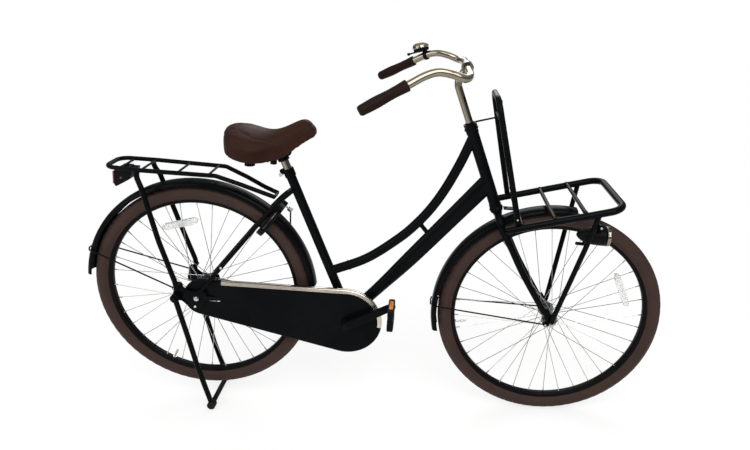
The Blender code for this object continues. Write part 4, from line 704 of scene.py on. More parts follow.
def fender(name, node, centre, sector, body):
    """Rolled sheet arched over the wheel, with a hem along both edges."""
    half = FENDER_HALF
    outer = [(-0.0185, half), (-0.0168, half + 0.0005), (-0.0142, half * 0.995), (-0.01, half * 0.955),
             (-0.006, half * 0.86), (-0.0026, half * 0.67), (-0.0006, half * 0.38), (0.0, 0.0)]
    inner = [(-0.0188, half - 0.0016), (-0.0169, half - 0.0015), (-0.0145, half - 0.0017),
             (-0.0108, half * 0.9), (-0.0074, half * 0.8), (-0.0042, half * 0.62), (-0.0022, half * 0.36),
             (-0.0015, 0.0)]
    section = twin(outer) + twin(inner)[::-1]
    steps = round((sector[1] - sector[0]) / FENDER_STEP)
    rings = []
    for i in range(steps + 1):
        a = radians(sector[0] + (sector[1] - sector[0]) * i / steps)
        rings.append([(centre[0] + (FENDER_RADIUS + r) * cos(a), y, centre[1] + (FENDER_RADIUS + r) * sin(a))
                      for r, y in section])
    black(name, lofted(rings), body, node)


def fender_wires(name, node, centre, angle, low, body):
    """One wire bent over the fender, with an eye and a screw at each end."""
    a = radians(angle)
    half = FENDER_HALF + STAY_WIRE + 0.0008
    out = vec(cos(a), 0, sin(a))
    hub = vec(centre[0], 0, centre[1])
    path = [Vector(low)]
    for reach, wide in ((-0.015, half), (-0.004, half), (STAY_WIRE + 0.0006, half * 0.55)):
        path.append(hub + out * (FENDER_RADIUS + reach) + vec(0, wide, 0))
    x, y, z = low
    ring = [(0.0066, 0.0024), (0.0066, -0.0024), (0.003, -0.0024), (0.003, 0.0024)]
    eyes = both_sides(lambda side: lathe(ring, (x, side * y, z), steps=24))
    black(name, [tube(rounded(arch(path), 0.006, 5), STAY_WIRE, 12)] + eyes, body, node)
    screws = both_sides(lambda side: cross_rod(x, z, side * (y - 0.0035), side * (y + 0.0044), 0.0036, 6))
    fit_out(name + "_screws", screws, body, STEEL)


FORK_EYELET = (1.111, -0.0056)
REAR_FENDER = (-0.0025, 0.0015)
FRONT_FENDER = (WHEELBASE - 0.003, -0.003)
RIVETS = ((0.7477, 0.0165), (0.768, 0.0512), (0.77, 0.0224))


def fenders():
    fender("rear_fender_sheet", "rear_fender", REAR_FENDER, (7.0, 175.0), "frame")
    fender("front_fender_sheet", "front_fender", FRONT_FENDER, (83.5, 192.0), "steering")
    fender_wires("rear_fender_wires", "rear_fender_stays", REAR_FENDER, 161.0, (-0.07, 0.069, 0.03), "frame")
    fender_wires("front_fender_wires", "front_fender_stays", FRONT_FENDER, 177.3,
                 (FORK_EYELET[0], 0.0585, FORK_EYELET[1]), "steering")
    rivets = []
    for side in SIDES:
        for x, z in RIVETS:
            spot = vec(x, side * 0.0262, z)
            rivets.append(rod(spot, spot + vec(-0.0008, side * 0.0022, 0), 0.0022, 12, edge=0.0006))
    fit_out("front_fender_rivets", rivets, "steering", STEEL)


# Frame

def pipe(start, end, radius, wall, sides=40):
    start, end = Vector(start), Vector(end)
    length = (end - start).length
    edge = 0.0006
    profile = [(radius, edge), (radius, length - edge), (radius - edge, length), (radius - wall, length),
               (radius - wall, 0), (radius - edge, 0)]
    return lathe(profile, start, end - start, sides)


def bead(place, direction, radius, thick=0.0016):
    """Smoothed weld ring round a tube end."""
    turn = frame_to(direction, place)
    return tube([turn @ vec(radius * c, radius * s, 0) for c, s in circle(40)], thick, 10, closed=True)


def oval_tube(stations, steps=10, sides=40):
    """A tube through (x, z, half height, half width) stations in the middle plane."""
    path = smooth([(x, 0, z) for x, z, tall, wide in stations], steps)
    sizes = smooth([(tall, wide, 0) for x, z, tall, wide in stations], steps)
    rings = []
    for i, (spot, size) in enumerate(zip(path, sizes)):
        way = (path[min(len(path) - 1, i + 1)] - path[max(0, i - 1)]).normalized()
        up = vec(-way.z, 0, way.x)
        rings.append([spot + up * size.x * c + vec(0, size.y * s, 0) for c, s in circle(sides)])
    return lofted(rings)


HEAD_TUBE_RADIUS = 0.0175
TOP_TUBE_RADIUS = 0.0148
STRUT_RADIUS = 0.007


def main_frame():
    head_point = HEAD_HIGH - AXIS_UP * HEAD_TUBE_RADIUS
    down_point = HEAD_LOW + AXIS_UP * 0.08
    upper = smooth([
        (head_point.x, 0, head_point.z), (0.8125, 0, 0.52), (0.797, 0, 0.48), (0.764, 0, 0.407),
        (0.7275, 0, 0.343), (0.685, 0, 0.286), (0.63, 0, 0.229), (0.5318, 0, 0.152),
        (seat_axis(0.098), 0, 0.098)], 8)
    lower = oval_tube([
        (*BRACKET, 0.019, 0.0165), (0.5713, 0.0458, 0.019, 0.0165), (0.6685, 0.1605, 0.0245, 0.0165),
        (0.7952, 0.317, 0.0268, 0.0165), (down_point.x, down_point.z, 0.0285, 0.0157)])
    foot = vec(BRACKET[0], 0, BRACKET[1])
    collar = SEAT_TOP - SEAT_UP * 0.026
    strut_low, strut_high = vec(0.688, 0, 0.29), vec(0.74, 0, 0.23)
    way = (strut_high - strut_low).normalized()
    pieces = [
        pipe(foot + SEAT_UP * 0.016, SEAT_TOP, 0.0147, 0.0018),
        pipe(collar, SEAT_TOP + SEAT_UP * 0.0002, 0.0173, 0.0044),
        *both_sides(lambda side: box(collar + vec(-0.024, side * 0.0052, 0.014), (0.016, 0.0064, 0.016),
                                     SEAT_UP, 0.0015)),
        pipe(HEAD_LOW, HEAD_HIGH, HEAD_TUBE_RADIUS, 0.0022),
        pipe(HEAD_LOW, HEAD_LOW + AXIS_UP * 0.009, 0.0188, 0.003),
        pipe(HEAD_HIGH - AXIS_UP * 0.009, HEAD_HIGH, 0.0188, 0.003),
        tube(upper[1:-1] + [upper[-1].lerp(upper[-2], 0.6)], TOP_TUBE_RADIUS, 32),
        lower,
        rod(strut_low, strut_high, STRUT_RADIUS),
        pipe((foot.x, -0.0365, foot.z), (foot.x, 0.0365, foot.z), 0.0205, 0.003, 48),
        bead(strut_low + way * 0.015, way, 0.0072, 0.0014),
        bead(strut_high - way * 0.0175, way, 0.0072, 0.0014),
        bead(foot + SEAT_UP * 0.02, SEAT_UP, 0.0146, 0.0018),
    ]
    pieces.append(bead(upper[-5], upper[-5] - upper[-6], TOP_TUBE_RADIUS, 0.0017))
    black("frame_tubes", pieces, "frame", "main_frame")


DROPOUT = [
    (-0.079, -0.008), (-0.072, -0.014), (-0.05, -0.016), (-0.03, -0.034), (-0.004, -0.042), (0.014, -0.036),
    (0.024, -0.018), (0.031, 0.004), (0.028, 0.018), (0.014, 0.026), (-0.012, 0.02), (-0.03, 0.023),
    (-0.044, 0.034), (-0.048, 0.049), (-0.066, 0.051), (-0.073, 0.042), (-0.076, 0.016), (-0.08, 0.004)]
STAND_PIVOT = (-0.066, 0.0)
SEAT_JOINT = (0.302, 0.372)


def stay_paths(side):
    if side < 0:
        low = [(BRACKET[0] - 0.018, -0.0275, BRACKET[1] + 0.003), (0.4, -0.033, -0.048),
               (0.3, -0.04, -0.036), (0.16, -0.043, -0.018), (0.078, -0.044, -0.0085),
               (0.046, -0.056, -0.004), (0.018, -STAY_END_Y, -0.001)]
        low = rounded(low, 0.05, 5)
    else:
        low = smooth([(BRACKET[0] - 0.018, 0.0275, BRACKET[1] + 0.003), (0.4, 0.033, -0.048),
                      (0.3, 0.044, -0.036), (0.12, 0.057, -0.013), (0.014, STAY_END_Y, -0.001)], 8)
    high = smooth([(0.01, side * STAY_END_Y, 0.022), (0.06, side * STAY_END_Y, 0.086),
                   (0.12, side * 0.056, 0.163), (0.235, side * 0.039, 0.3085),
                   (SEAT_JOINT[0] - 0.002, side * 0.019, SEAT_JOINT[1])], 8)
    return low, high


def rear_stays():
    pieces = []
    px = STAND_PIVOT[0]
    for side in SIDES:
        low, high = stay_paths(side)
        pieces += [
            plate(DROPOUT, *span(side, DROPOUT_IN, DROPOUT_OUT), 0.0009),
            tube(low, 0.0078),
            tube(high, 0.007),
            cross_rod(px, 0, side * 0.064, side * 0.0905, 0.0055),
            cross_rod(px, 0, side * 0.088, side * 0.0925, 0.0095, 6, 0.0008),
        ]
    pieces += [cross_rod(0.286, 0.361, -0.026, 0.026, 0.0062),
               cross_rod(0.433, -0.052, -0.032, 0.032, 0.0062)]
    black("rear_stay_tubes", pieces, "frame", "rear_stays")
    screws = [cross_rod(-0.008, -0.033, -0.064, -0.0685, 0.0042, 24, 0.0012),
              cross_rod(0.0815, 0.112, -0.063, -0.07, 0.004, 24, 0.0012)]
    fit_out("rear_stay_screws", screws, "frame", STEEL)


# How far each leg runs behind the straight line from crown to tip, by share of its length
FORK_BOW = ((0.243, 0.0024), (0.478, 0.0059), (0.684, 0.0047))


def fork():
    crown = HEAD_LOW - AXIS_UP * 0.0116
    shoulder = crown - AXIS_UP * 0.0142
    knee = shoulder + vec(0.0125, 0.0455, -0.03)
    tip = vec(WHEELBASE - 0.0245, 0.0545, 0.034)
    bow = [knee.lerp(tip, share) - vec(back, 0, 0) for share, back in FORK_BOW]
    leg = smooth([shoulder, shoulder + vec(0.001, 0.028, -0.003), knee, *bow, tip])
    half = len(leg) - 1
    sizes = [1 - 0.24 * abs(i - half) / half for i in range(2 * half + 1)]
    pieces = [
        pipe(crown - AXIS_UP * 0.014, HEAD_HIGH + AXIS_UP * 0.025, 0.0143, 0.0022),
        lathe([(0, -0.007), (0.015, -0.007), (0.0185, -0.004), (0.0195, 0), (0, 0)], crown, AXIS_UP, 40),
        tube(mirrored(leg), 0.0125, 24, sizes),
    ]
    end = arc((WHEELBASE, 0), 0.013, -160, 20, 24) + [
        (WHEELBASE + 0.001, 0.024), (WHEELBASE - 0.015, 0.05), (WHEELBASE - 0.031, 0.042)]
    for side in SIDES:
        pieces.append(plate(end, *span(side, 0.0503, 0.0555), 0.0008))
        pieces.append(cross_rod(*FORK_EYELET, side * 0.0507, side * 0.0551, 0.0075))
    black("fork_blades", pieces, "steering", "fork")


def headset():
    profile = [(0.015, 0.0), (0.0186, 0.0), (0.0202, 0.0022), (0.0214, 0.0052), (0.0214, 0.0066),
               (0.0198, 0.0074), (0.0198, 0.01), (0.0192, 0.0108), (0.015, 0.0108)]
    for name, node, place, way in (("headset_cup_low", "headset_lower_cup", HEAD_LOW, -AXIS_UP),
                                   ("headset_cup_high", "headset_upper_cup", HEAD_HIGH, AXIS_UP)):
        black(name, lathe(profile, place + way * 0.0003, way), "frame", node)


# Racks, hoop and stand

def rear_rack():
    w, z = 0.0565, 0.4125
    half = [(0.244, 0.02, 0.344), (0.2, 0.025, 0.36), (0.1434, 0.037, 0.3835), (0.072, w - 0.007, z - 0.003),
            (-0.15, w, z), (-0.264, w - 0.006, z + 0.002)]
    pieces = [tube(rounded(arch(half), 0.032), 0.0069, 18)]
    for x in (-0.2205, -0.154, -0.043, 0.051):
        pieces.append(cross_rod(x, z - 0.0005, -w + 0.003, w - 0.003, 0.0036, 16))
    pieces.append(cross_rod(0.242, 0.3445, -0.021, 0.021, 0.0045, 16))
    foot = (-0.056, 0.042)
    for side in SIDES:
        strut = [(-0.164, side * (w - 0.001), z), (-0.164, side * (w + 0.004), z - 0.022),
                 (-0.15, side * 0.067, 0.362), (-0.103, side * 0.08, 0.194), (-0.06, side * 0.085, 0.062),
                 (-0.057, side * 0.085, 0.042)]
        pieces.append(tube(rounded(strut, 0.03, 5), 0.008, 18))
        pieces.append(cross_rod(*foot, side * 0.0653, side * 0.092, 0.007, 24, 0.0008))
    black("rear_rack_tubes", pieces, "frame", "rear_rack")
    screws = both_sides(lambda side: cross_rod(*foot, side * 0.0915, side * 0.092, 0.004, 6))
    fit_out("rear_rack_screws", screws, "frame", STEEL)


RACK_BARS = (0.984, 1.074, 1.158)
RACK_TUBE = 0.0105


def front_rack():
    w, x0, x1 = RACK_HALF, RACK_REAR[0], RACK_FRONT_X
    half = [(x0, w, rack_height(x0)), (x1, w, rack_height(x1))]
    pieces = [tube(rounded(arch(half), 0.042, 10), RACK_TUBE, 28)]
    for x in RACK_BARS:
        z = rack_height(x) + 0.0072
        pieces.append(cross_rod(x, z, -w, w, 0.0062, 20))
        pieces += both_sides(lambda side: bead((x, side * (w - 0.0095), z), (0, 1, 0), 0.0062, 0.0012))
    tab_rear, first = 0.9447, RACK_BARS[0]
    tab = ((tab_rear + first) / 2, 0, rack_height(first) + 0.0065)
    pieces.append(box(tab, (first - tab_rear, 0.026, 0.003)))
    for side in SIDES:
        strut = [(WHEELBASE, side * 0.0644, 0.004), (WHEELBASE + 0.004, side * 0.0653, 0.026),
                 (1.176, side * 0.118, 0.285), (1.1905, side * 0.134, 0.372), (1.1945, side * 0.137, 0.403)]
        pieces.append(tube(rounded(strut, 0.02, 5), 0.0078))
        y0, y1 = span(side, 0.0558, 0.0622)
        pieces.append(pipe((WHEELBASE, y0, 0), (WHEELBASE, y1, 0), 0.0105, 0.0048, 32))
    black("front_rack_tubes", pieces, "steering", "front_rack")
    tip = x0 - 0.0007
    plugs = both_sides(lambda side: rod((x0, side * w, rack_height(x0)), (tip, side * w, rack_height(tip)),
                                        0.0085, 28))
    fit_out("front_rack_plugs", plugs, "steering", PLASTIC)


HOOP_BASE_X = 0.9715
HOOP_LEAN = vec(-0.2447, 0, 0.9696)
HOOP_AHEAD = vec(0.9696, 0, 0.2447)
HOOP_HEIGHT = 0.352


def hoop():
    base = vec(HOOP_BASE_X, 0, rack_height(HOOP_BASE_X) + RACK_TUBE + 0.00275)
    half = [base + HOOP_LEAN * up + vec(0, wide, 0)
            for up, wide in ((0.0, 0.138), (0.13, 0.121), (0.25, 0.096), (HOOP_HEIGHT, 0.077))]
    cross = base + HOOP_LEAN * 0.287
    pieces = [tube(rounded(arch(half), 0.042, 10), 0.0086, 24),
              cross_rod(cross.x, cross.z, -0.089, 0.089, 0.0045)]
    black("luggage_hoop", pieces, "steering", "front_hoop")
    rivets = []
    for side in SIDES:
        for start, way in ((vec(0, side * 0.136, 0) + HOOP_AHEAD * 0.008, HOOP_AHEAD * 0.0018),
                           (vec(0, side * 0.144, 0), vec(0, side * 0.0022, 0))):
            spot = base + HOOP_LEAN * 0.016 + start
            rivets.append(rod(spot, spot + way, 0.0028, 16, edge=0.0008))
    fit_out("luggage_hoop_rivets", rivets, "steering", STEEL)
    ring_at = HEAD_HIGH + AXIS_UP * 0.0189
    eye = lathe([(0.02, 0.003), (0.02, 0), (0.0146, 0), (0.0146, 0.003)], ring_at, AXIS_UP, 40)
    arm = rod(ring_at + AXIS_AHEAD * 0.018 + AXIS_UP * 0.0025, cross - HOOP_AHEAD * 0.0055, 0.0027, 16)
    black("luggage_hoop_brace", [eye, arm], "steering", "hoop_brace")
    straps(base)


BAND_SECTION = ((-1, -0.6), (-0.9, -1), (0.9, -1), (1, -0.6), (1, 0.6), (0.9, 1), (-0.9, 1), (-1, 0.6))
BANDS = (-0.028, 0.0, 0.028)


def band(low, high, y, width, thick, sag, steps=24):
    """A flat elastic band between two rods, drawn in at the middle."""
    rings = []
    for i in range(steps + 1):
        t = i / steps
        narrow = width * (1 - 0.18 * sin(pi * t)) / 2
        place = low.lerp(high, t) + HOOP_AHEAD * sag * sin(pi * t)
        rings.append([place + vec(0, y + s * narrow, 0) + HOOP_AHEAD * u * thick / 2
                      for s, u in BAND_SECTION])
    return lofted(rings)


def straps(base):
    shift = HOOP_AHEAD * 0.0079
    low = base + HOOP_LEAN * 0.022 + shift
    high = base + HOOP_LEAN * (HOOP_HEIGHT - 0.016) + shift
    bands = [band(low, high, y, 0.0115, 0.0022, 0.0012) for y in BANDS]
    ends = [cross_rod(p.x, p.z, -0.036, 0.036, 0.0038, 20, 0.001) for p in (low, high)]
    fit_out("luggage_bands", bands + ends, "steering", STRAP, ["luggage_straps"])
    lift, inset = HOOP_AHEAD * 0.0013, HOOP_LEAN * 0.03
    lines = [band(low + inset + lift, high - inset + lift, y + side * 0.003, 0.0009, 0.0006, 0.0012)
             for y in BANDS for side in SIDES]
    fit_out("luggage_band_lines", lines, "steering", PALE_THREAD)
    clips = [box(p + vec(0, y, 0), (0.0096, 0.0125, 0.01), HOOP_LEAN, 0.0015)
             for p in (low, high) for y in BANDS]
    fit_out("luggage_band_clips", clips, "steering", PLASTIC)


STAND_FOOT = (0.034, -0.3985)


def stand():
    px, pz = STAND_PIVOT
    fx, fz = STAND_FOOT
    w = 0.078
    half = [(px, w, pz - 0.004), (px + 0.033, w, -0.14), (px + 0.061, w, -0.262), (fx, w, fz)]
    pieces = [tube(rounded(arch(half), 0.014, 6), 0.0084)]
    for side in SIDES:
        y0, y1 = span(side, w - 0.0075, w + 0.0075)
        pieces.append(pipe((px, y0, pz), (px, y1, pz), 0.0145, 0.0088, 32))
    black("stand_legs", pieces, "stand", "stand")
    shoes = both_sides(lambda side: cross_rod(fx, fz, side * (w - 0.012), side * (w + 0.012),
                                              0.0139, 32, 0.002))
    fit_out("stand_shoes", shoes, "stand", RUBBER)


# Drive

def toothed(centre, pitch_radius, teeth, tip=0.0024, root=-0.0036):
    """Outline of a chain wheel, eight points to each tooth."""
    half = ((0.05, tip), (0.12, tip - 0.0012), (0.22, root + 0.0008), (0.3, root))
    tooth = [(-share, offset) for share, offset in reversed(half)] + list(half)
    points = []
    for i in range(teeth):
        for share, offset in tooth:
            a = 2 * pi * (i + share) / teeth
            r = pitch_radius + offset
            points.append((centre[0] + r * cos(a), centre[1] + r * sin(a)))
    return points


PEDAL_AXLE = 0.0053
WINDOW_CIRCLE = 0.044


def drive():
    flat = span(-1, CHAIN_LINE - 0.0012, CHAIN_LINE + 0.0012)
    ring = plate(toothed(BRACKET, RING_RADIUS, 38), *flat, 0)
    windows = []
    for i in range(5):
        a = 2 * pi * i / 5 + 0.3
        spot = (BRACKET[0] + WINDOW_CIRCLE * cos(a), BRACKET[1] + WINDOW_CIRCLE * sin(a))
        windows.append(cross_rod(*spot, -0.06, -0.03, 0.0165, 36))
    thick, slim = (*BRACKET, 0.016), 0.0115
    right = [
        cut(ring, together(windows)),
        cross_rod(*BRACKET, -0.072, 0.0715, 0.0085),
        cross_rod(*BRACKET, -CRANK_IN - 0.003, -CHAIN_LINE + 0.0035, 0.017, 40, 0.001),
        plate(belt((*CRANK_END, slim), thick, steps=24), -CRANK_OUT, -CRANK_IN, 0.0035),
        cross_rod(*CRANK_END, -CRANK_OUT - 0.0805, -CRANK_IN - 0.004, PEDAL_AXLE),
    ]
    black("crank_arm_right", right, "crank", "crankset")
    left = [plate(belt(thick, (*CRANK_BACK, slim), steps=24), CRANK_IN, CRANK_OUT, 0.0035),
            cross_rod(*CRANK_BACK, CRANK_IN + 0.004, CRANK_OUT + 0.0805, PEDAL_AXLE)]
    black("crank_arm_left", left, "crank", "crank_left")
    cap_in, cap_out = CRANK_OUT - 0.001, CRANK_OUT + 0.0024
    caps = both_sides(lambda side: cross_rod(*BRACKET, side * cap_in, side * cap_out, 0.0085, 32, 0.001))
    fit_out("crank_bolt_caps", caps, "crank", PLASTIC)
    cog = cut(plate(toothed((0, 0), COG_RADIUS, 19), *flat, 0), cross_rod(0, 0, -0.07, -0.02, 0.0173, 48))
    fit_out("rear_cog", cog, "sprocket", DARK_STEEL, ["rear_sprocket"])


def chain_link(a, b, out):
    """Two side plates between the joints a and b, and the roller at a."""
    along = (b - a).normalized()
    up = vec(-along.z, 0, along.x)
    outline = []
    for end, first, waist in ((b, -90, 0.003), (a, 90, -0.003)):
        for k in range(7):
            t = radians(first + 30 * k)
            outline.append(end + (along * cos(t) + up * sin(t)) * 0.004)
        outline.append((a + b) / 2 + up * waist)
    flat = [(p.x, p.z) for p in outline]
    pieces = [plate(flat, side * out - CHAIN_LINE, side * (out + 0.0009) - CHAIN_LINE, 0) for side in SIDES]
    return pieces + [cross_rod(a.x, a.z, -CHAIN_LINE - 0.0044, -CHAIN_LINE + 0.0044, 0.0018, 8)]


def chain():
    """Roller chain laid round both wheels, with a joint at every pitch."""
    loop = [vec(x, 0, z) for x, z in belt((*BRACKET, RING_RADIUS), (0, 0, COG_RADIUS), steps=96)]
    gaps = [(b - a).length for a, b in zip(loop, loop[1:] + loop[:1])]
    total = sum(gaps)
    count = 2 * round(total / CHAIN_PITCH / 2)
    joints = []
    index, passed = 0, 0.0
    for i in range(count):
        want = total * i / count
        while passed + gaps[index] < want:
            passed += gaps[index]
            index += 1
        joints.append(loop[index].lerp(loop[(index + 1) % len(loop)], (want - passed) / gaps[index]))
    pieces = []
    for i, a in enumerate(joints):
        pieces += chain_link(a, joints[(i + 1) % count], 0.0034 if i % 2 else 0.0024)
    fit_out("chain_links", pieces, "frame", DARK_STEEL, ["chain"])


BAND_REAR_X = 0.076
BAND_STEPS = 32
FLAT_SHARE = 0.62


def chain_case():
    y, wall = CASE_OUTER_Y, 0.0015
    inside = y + 0.0165
    shell = [
        (-0.0115, y), (-0.0085, y), (-0.005, y + 0.0003), (-0.0024, y + 0.0014), (-0.0008, y + 0.0032),
        (0, y + 0.0058), (0, y + 0.009), (-0.0006, y + 0.012), (-0.0035, inside), (-0.0035 - wall, inside),
        (-0.0024, y + 0.0115), (-wall, y + 0.009), (-wall, y + 0.006), (-0.003, y + 0.0034),
        (-0.0056, y + wall + 0.0004), (-0.0085, y + wall)]
    tub = lofted([[(x, h, z) for x, z in belt(CASE_FRONT, CASE_REAR, r, 56)] for r, h in shell])
    hole = cross_rod(*BRACKET, -0.08, -0.05, 0.02, 48)
    notch = plate(belt((0.065, -0.0068, 0.0084), (-0.06, -0.003, 0.013), steps=16), -0.08, -0.02, 0)
    black("chain_case_shell", cut(tub, hole, notch), "frame", "chain_case")


def case_band_path():
    """Places along the case's outline that its bright band covers, from the front over the top."""
    loop = belt(CASE_FRONT, CASE_REAR, 0, 56)
    path = [p for p in loop[:58] if p[1] > CASE_FRONT[1] - 0.016 and p[0] > 0.08]
    last, after = Vector(loop[56]), Vector(loop[57])
    share = (last.x - BAND_REAR_X) / (last.x - after.x)
    for step in range(1, 25):
        path.append(tuple(last.lerp(after, share * step / 24)))
    return [vec(x, 0, z) for x, z in path]


def case_band_section():
    """Section of the band: four ridges, its edge rolled over the case's rim, and the same behind."""
    y = CASE_OUTER_Y
    face = y - 0.0006
    section = []
    for i in range(BAND_STEPS + 1):
        t = i / BAND_STEPS
        ridge = 0.0009 * (0.5 - 0.5 * cos(2 * pi * 4 * t))
        if t < FLAT_SHARE:
            section.append((-0.013 + 0.0112 * t / FLAT_SHARE, face - ridge))
        else:
            turn = (t - FLAT_SHARE) / (1 - FLAT_SHARE)
            out = -0.0018 + 0.0024 * sin(turn * pi / 2) + ridge * 0.4
            section.append((out, face + 0.0086 * turn ** 1.6))
    back = [(r - 0.0006 if h > y + 0.002 else r, h + 0.0005) for r, h in reversed(section)]
    return section + [(min(r, 0.0002) if h > y + 0.0012 else r, h) for r, h in back]


def case_band():
    path = case_band_path()
    profile = case_band_section()
    middle_of_case = vec(CASE_FRONT[0] - 0.15, 0, CASE_FRONT[1])
    rings = []
    for i, centre in enumerate(path):
        way = (path[min(len(path) - 1, i + 1)] - path[max(0, i - 1)]).normalized()
        out = vec(way.z, 0, -way.x)
        if out.dot(centre - middle_of_case) < 0:
            out = -out
        rings.append([centre + out * r + vec(0, h, 0) for r, h in profile])
    fit_out("chain_case_band", lofted(rings), "frame", TRIM_NICKEL, ["chain_case_trim"], 50)


def pedal(name, side, place):
    """Rubber block pedal with ribbed treads, end plates and amber reflectors."""
    x, z = place
    thick, wide, tall = 0.02, 0.082, 0.07
    y0 = side * (CRANK_OUT + 0.003)
    y1 = side * (CRANK_OUT + 0.003 + wide)
    mid = (y0 + y1) / 2
    blocks = []
    for up in SIDES:
        block_z = z + up * (tall / 2 - 0.012)
        blocks.append(box((x, mid, block_z), (thick - 0.0016, wide - 0.004, 0.024), edge=0.0022))
        for face in SIDES:
            for row in (-1, 0, 1):
                spot = (x + face * (thick / 2 - 0.001), mid, block_z + row * 0.0068)
                blocks.append(box(spot, (0.002, wide - 0.012, 0.0034), edge=0.0007))
    cage = [cross_rod(x, z, y0 + side * 0.001, y1 - side * 0.001, 0.0098, 28, 0.001)]
    for y in (y0 + side * 0.0035, y1 - side * 0.0035):
        cage.append(box((x, y, z), (0.015, 0.006, tall * 0.92), edge=0.0012))
    cage.append(box((x, mid, z), (0.016, wide * 0.3, tall * 0.6), edge=0.001))
    fit_out(name + "_blocks", blocks, name, RUBBER, [name])
    fit_out(name + "_cage", cage, name, PLASTIC)
    lenses = [box((x, mid, z + up * (tall / 2 + 0.0003)), (0.012, 0.05, 0.0014), edge=0.0003) for up in SIDES]
    fit_out(name + "_reflectors", lenses, name, AMBER_LENS)


# Lamps

def head_lamp():
    centre = vec(1.206, -0.09, 0.3235)
    ahead = vec(1.0, 0, 0.008).normalized()
    r = 0.03
    profile = [
        (r - 0.003, 0.031), (r - 0.0012, 0.0285), (r - 0.0008, 0.024), (r - 0.0012, 0.012), (r - 0.002, 0.0),
        (r - 0.0034, -0.012), (r - 0.0066, -0.024), (r - 0.0115, -0.036), (r - 0.0175, -0.045),
        (r - 0.024, -0.0515), (0, -0.054), (0, -0.049), (r - 0.017, -0.04), (r - 0.0085, -0.021),
        (r - 0.0048, 0.0), (r - 0.0048, 0.031)]
    knob = centre + vec(-0.026, 0, -0.03)
    shell = [lathe(profile, centre, ahead, 56),
             rod(knob + vec(-0.026, 0, 0.001), knob, 0.005, 24, edge=0.0016),
             rod(knob + vec(-0.003, 0, 0), knob + vec(0, 0, 0.01), 0.0048, 24)]
    fit_out("head_lamp_shell", shell, "steering", PLASTIC, ["head_lamp_housing"])
    head_lamp_glass(centre, ahead, r)
    x = centre.x + 0.006
    low = centre.z + r - 0.0004
    shelf = low + 0.011
    out_y = -RACK_HALF + 0.004
    foot_x, foot_z = 1.205, shelf + 0.004
    bracket = [
        rod((x, centre.y, low), (x, centre.y, shelf + 0.004), 0.0078, 28, edge=0.0008),
        box((x, (centre.y + out_y) / 2, shelf), (0.018, centre.y - out_y + 0.018, 0.0034), edge=0.001),
        box((foot_x, out_y, foot_z), (0.012, 0.022, 0.017), edge=0.0014),
    ]
    black("head_lamp_arm", bracket, "steering", "head_lamp_bracket")
    bolt = cross_rod(foot_x, foot_z + 0.0005, out_y - 0.011, out_y - 0.0138, 0.0034, 20, 0.001)
    fit_out("head_lamp_bolt", bolt, "steering", STEEL)


def scallops(a, h):
    return 1 - 0.012 * (0.5 + 0.5 * cos(12 * a)) * (1 if 0.033 < h < 0.04 else 0.25)


def head_lamp_glass(centre, ahead, r):
    """Scalloped ring, domed lens, and the bowl and bulb behind it."""
    ring = [(r - 0.0006, 0.0315), (r, 0.0325), (r, 0.035), (r - 0.0003, 0.0375), (r, 0.0395),
            (r - 0.001, 0.041), (r - 0.005, 0.041), (r - 0.005, 0.0315)]
    lens = [(0, 0.0418), (r * 0.3, 0.0414), (r * 0.55, 0.0402), (r * 0.75, 0.038), (r - 0.0056, 0.0355),
            (r - 0.0056, 0.034), (r * 0.55, 0.0385), (0, 0.04)]
    bowl = [(r - 0.0058, 0.033), (r * 0.7, 0.02), (r * 0.45, 0.006), (r * 0.2, -0.002), (0, -0.003),
            (0, -0.004), (r * 0.22, -0.003), (r * 0.48, 0.0055), (r * 0.73, 0.0195), (r - 0.0054, 0.0325)]
    bulb = [(0, 0.018), (0.002, 0.017), (0.0028, 0.014), (0.0024, 0.01), (0.003, 0.0), (0, 0.0)]
    bezel = lathe(ring, centre, ahead, 96, scallops)
    fit_out("head_lamp_bezel", bezel, "steering", NICKEL, ["head_lamp_ring"])
    fit_out("head_lamp_glass", lathe(lens, centre, ahead, 48), "steering", CLEAR_LENS, ["head_lamp_lens"])
    mirror = [lathe(bowl, centre, ahead, 40), lathe(bulb, centre, ahead, 24)]
    fit_out("head_lamp_reflector", mirror, "steering", MIRROR)


def tail_lamp():
    side = [(-0.2475, 0.399), (-0.25, 0.352), (-0.245, 0.3465), (-0.203, 0.371), (-0.194, 0.399)]
    housing = plate(side, -0.034, 0.034, 0.0025)
    mount = box((-0.2205, 0, 0.403), (0.03, 0.03, 0.01), edge=0.001)
    fit_out("tail_lamp_case", [housing, mount], "frame", PLASTIC, ["tail_lamp_housing"])
    outline = [(-0.2481, 0.3965), (-0.2525, 0.3945), (-0.2546, 0.356), (-0.2504, 0.354)]
    lens = plate(outline, -0.032, 0.032, 0.0012)
    fit_out("tail_lamp_glass", lens, "frame", RED_LENS, ["tail_lamp_lens"])
    screws = both_sides(lambda side: cross_rod(-0.227, 0.376, side * 0.0338, side * 0.0348,
                                               0.0034, 24, 0.0008))
    fit_out("tail_lamp_screws", screws, "frame", DARK_STEEL)


# Cockpit

CLAMP = (head_axis(0.7739) + 0.044, 0.7739)
BAR_HALF = [(CLAMP[0], 0, CLAMP[1]), (CLAMP[0] - 0.001, 0.15, CLAMP[1] - 0.001), (0.78, 0.2, 0.7695),
            (0.745, 0.211, 0.78), (0.7094, 0.219, 0.784), (0.676, 0.233, 0.774), (0.6356, 0.2514, 0.7512)]
GRIP_IN = Vector(BAR_HALF[-1])
GRIP_OUT = vec(0.5225, 0.295, 0.6861)
GRIP_WAY = (GRIP_OUT - GRIP_IN).normalized()


BAR_BODY = "handlebar_assembly"


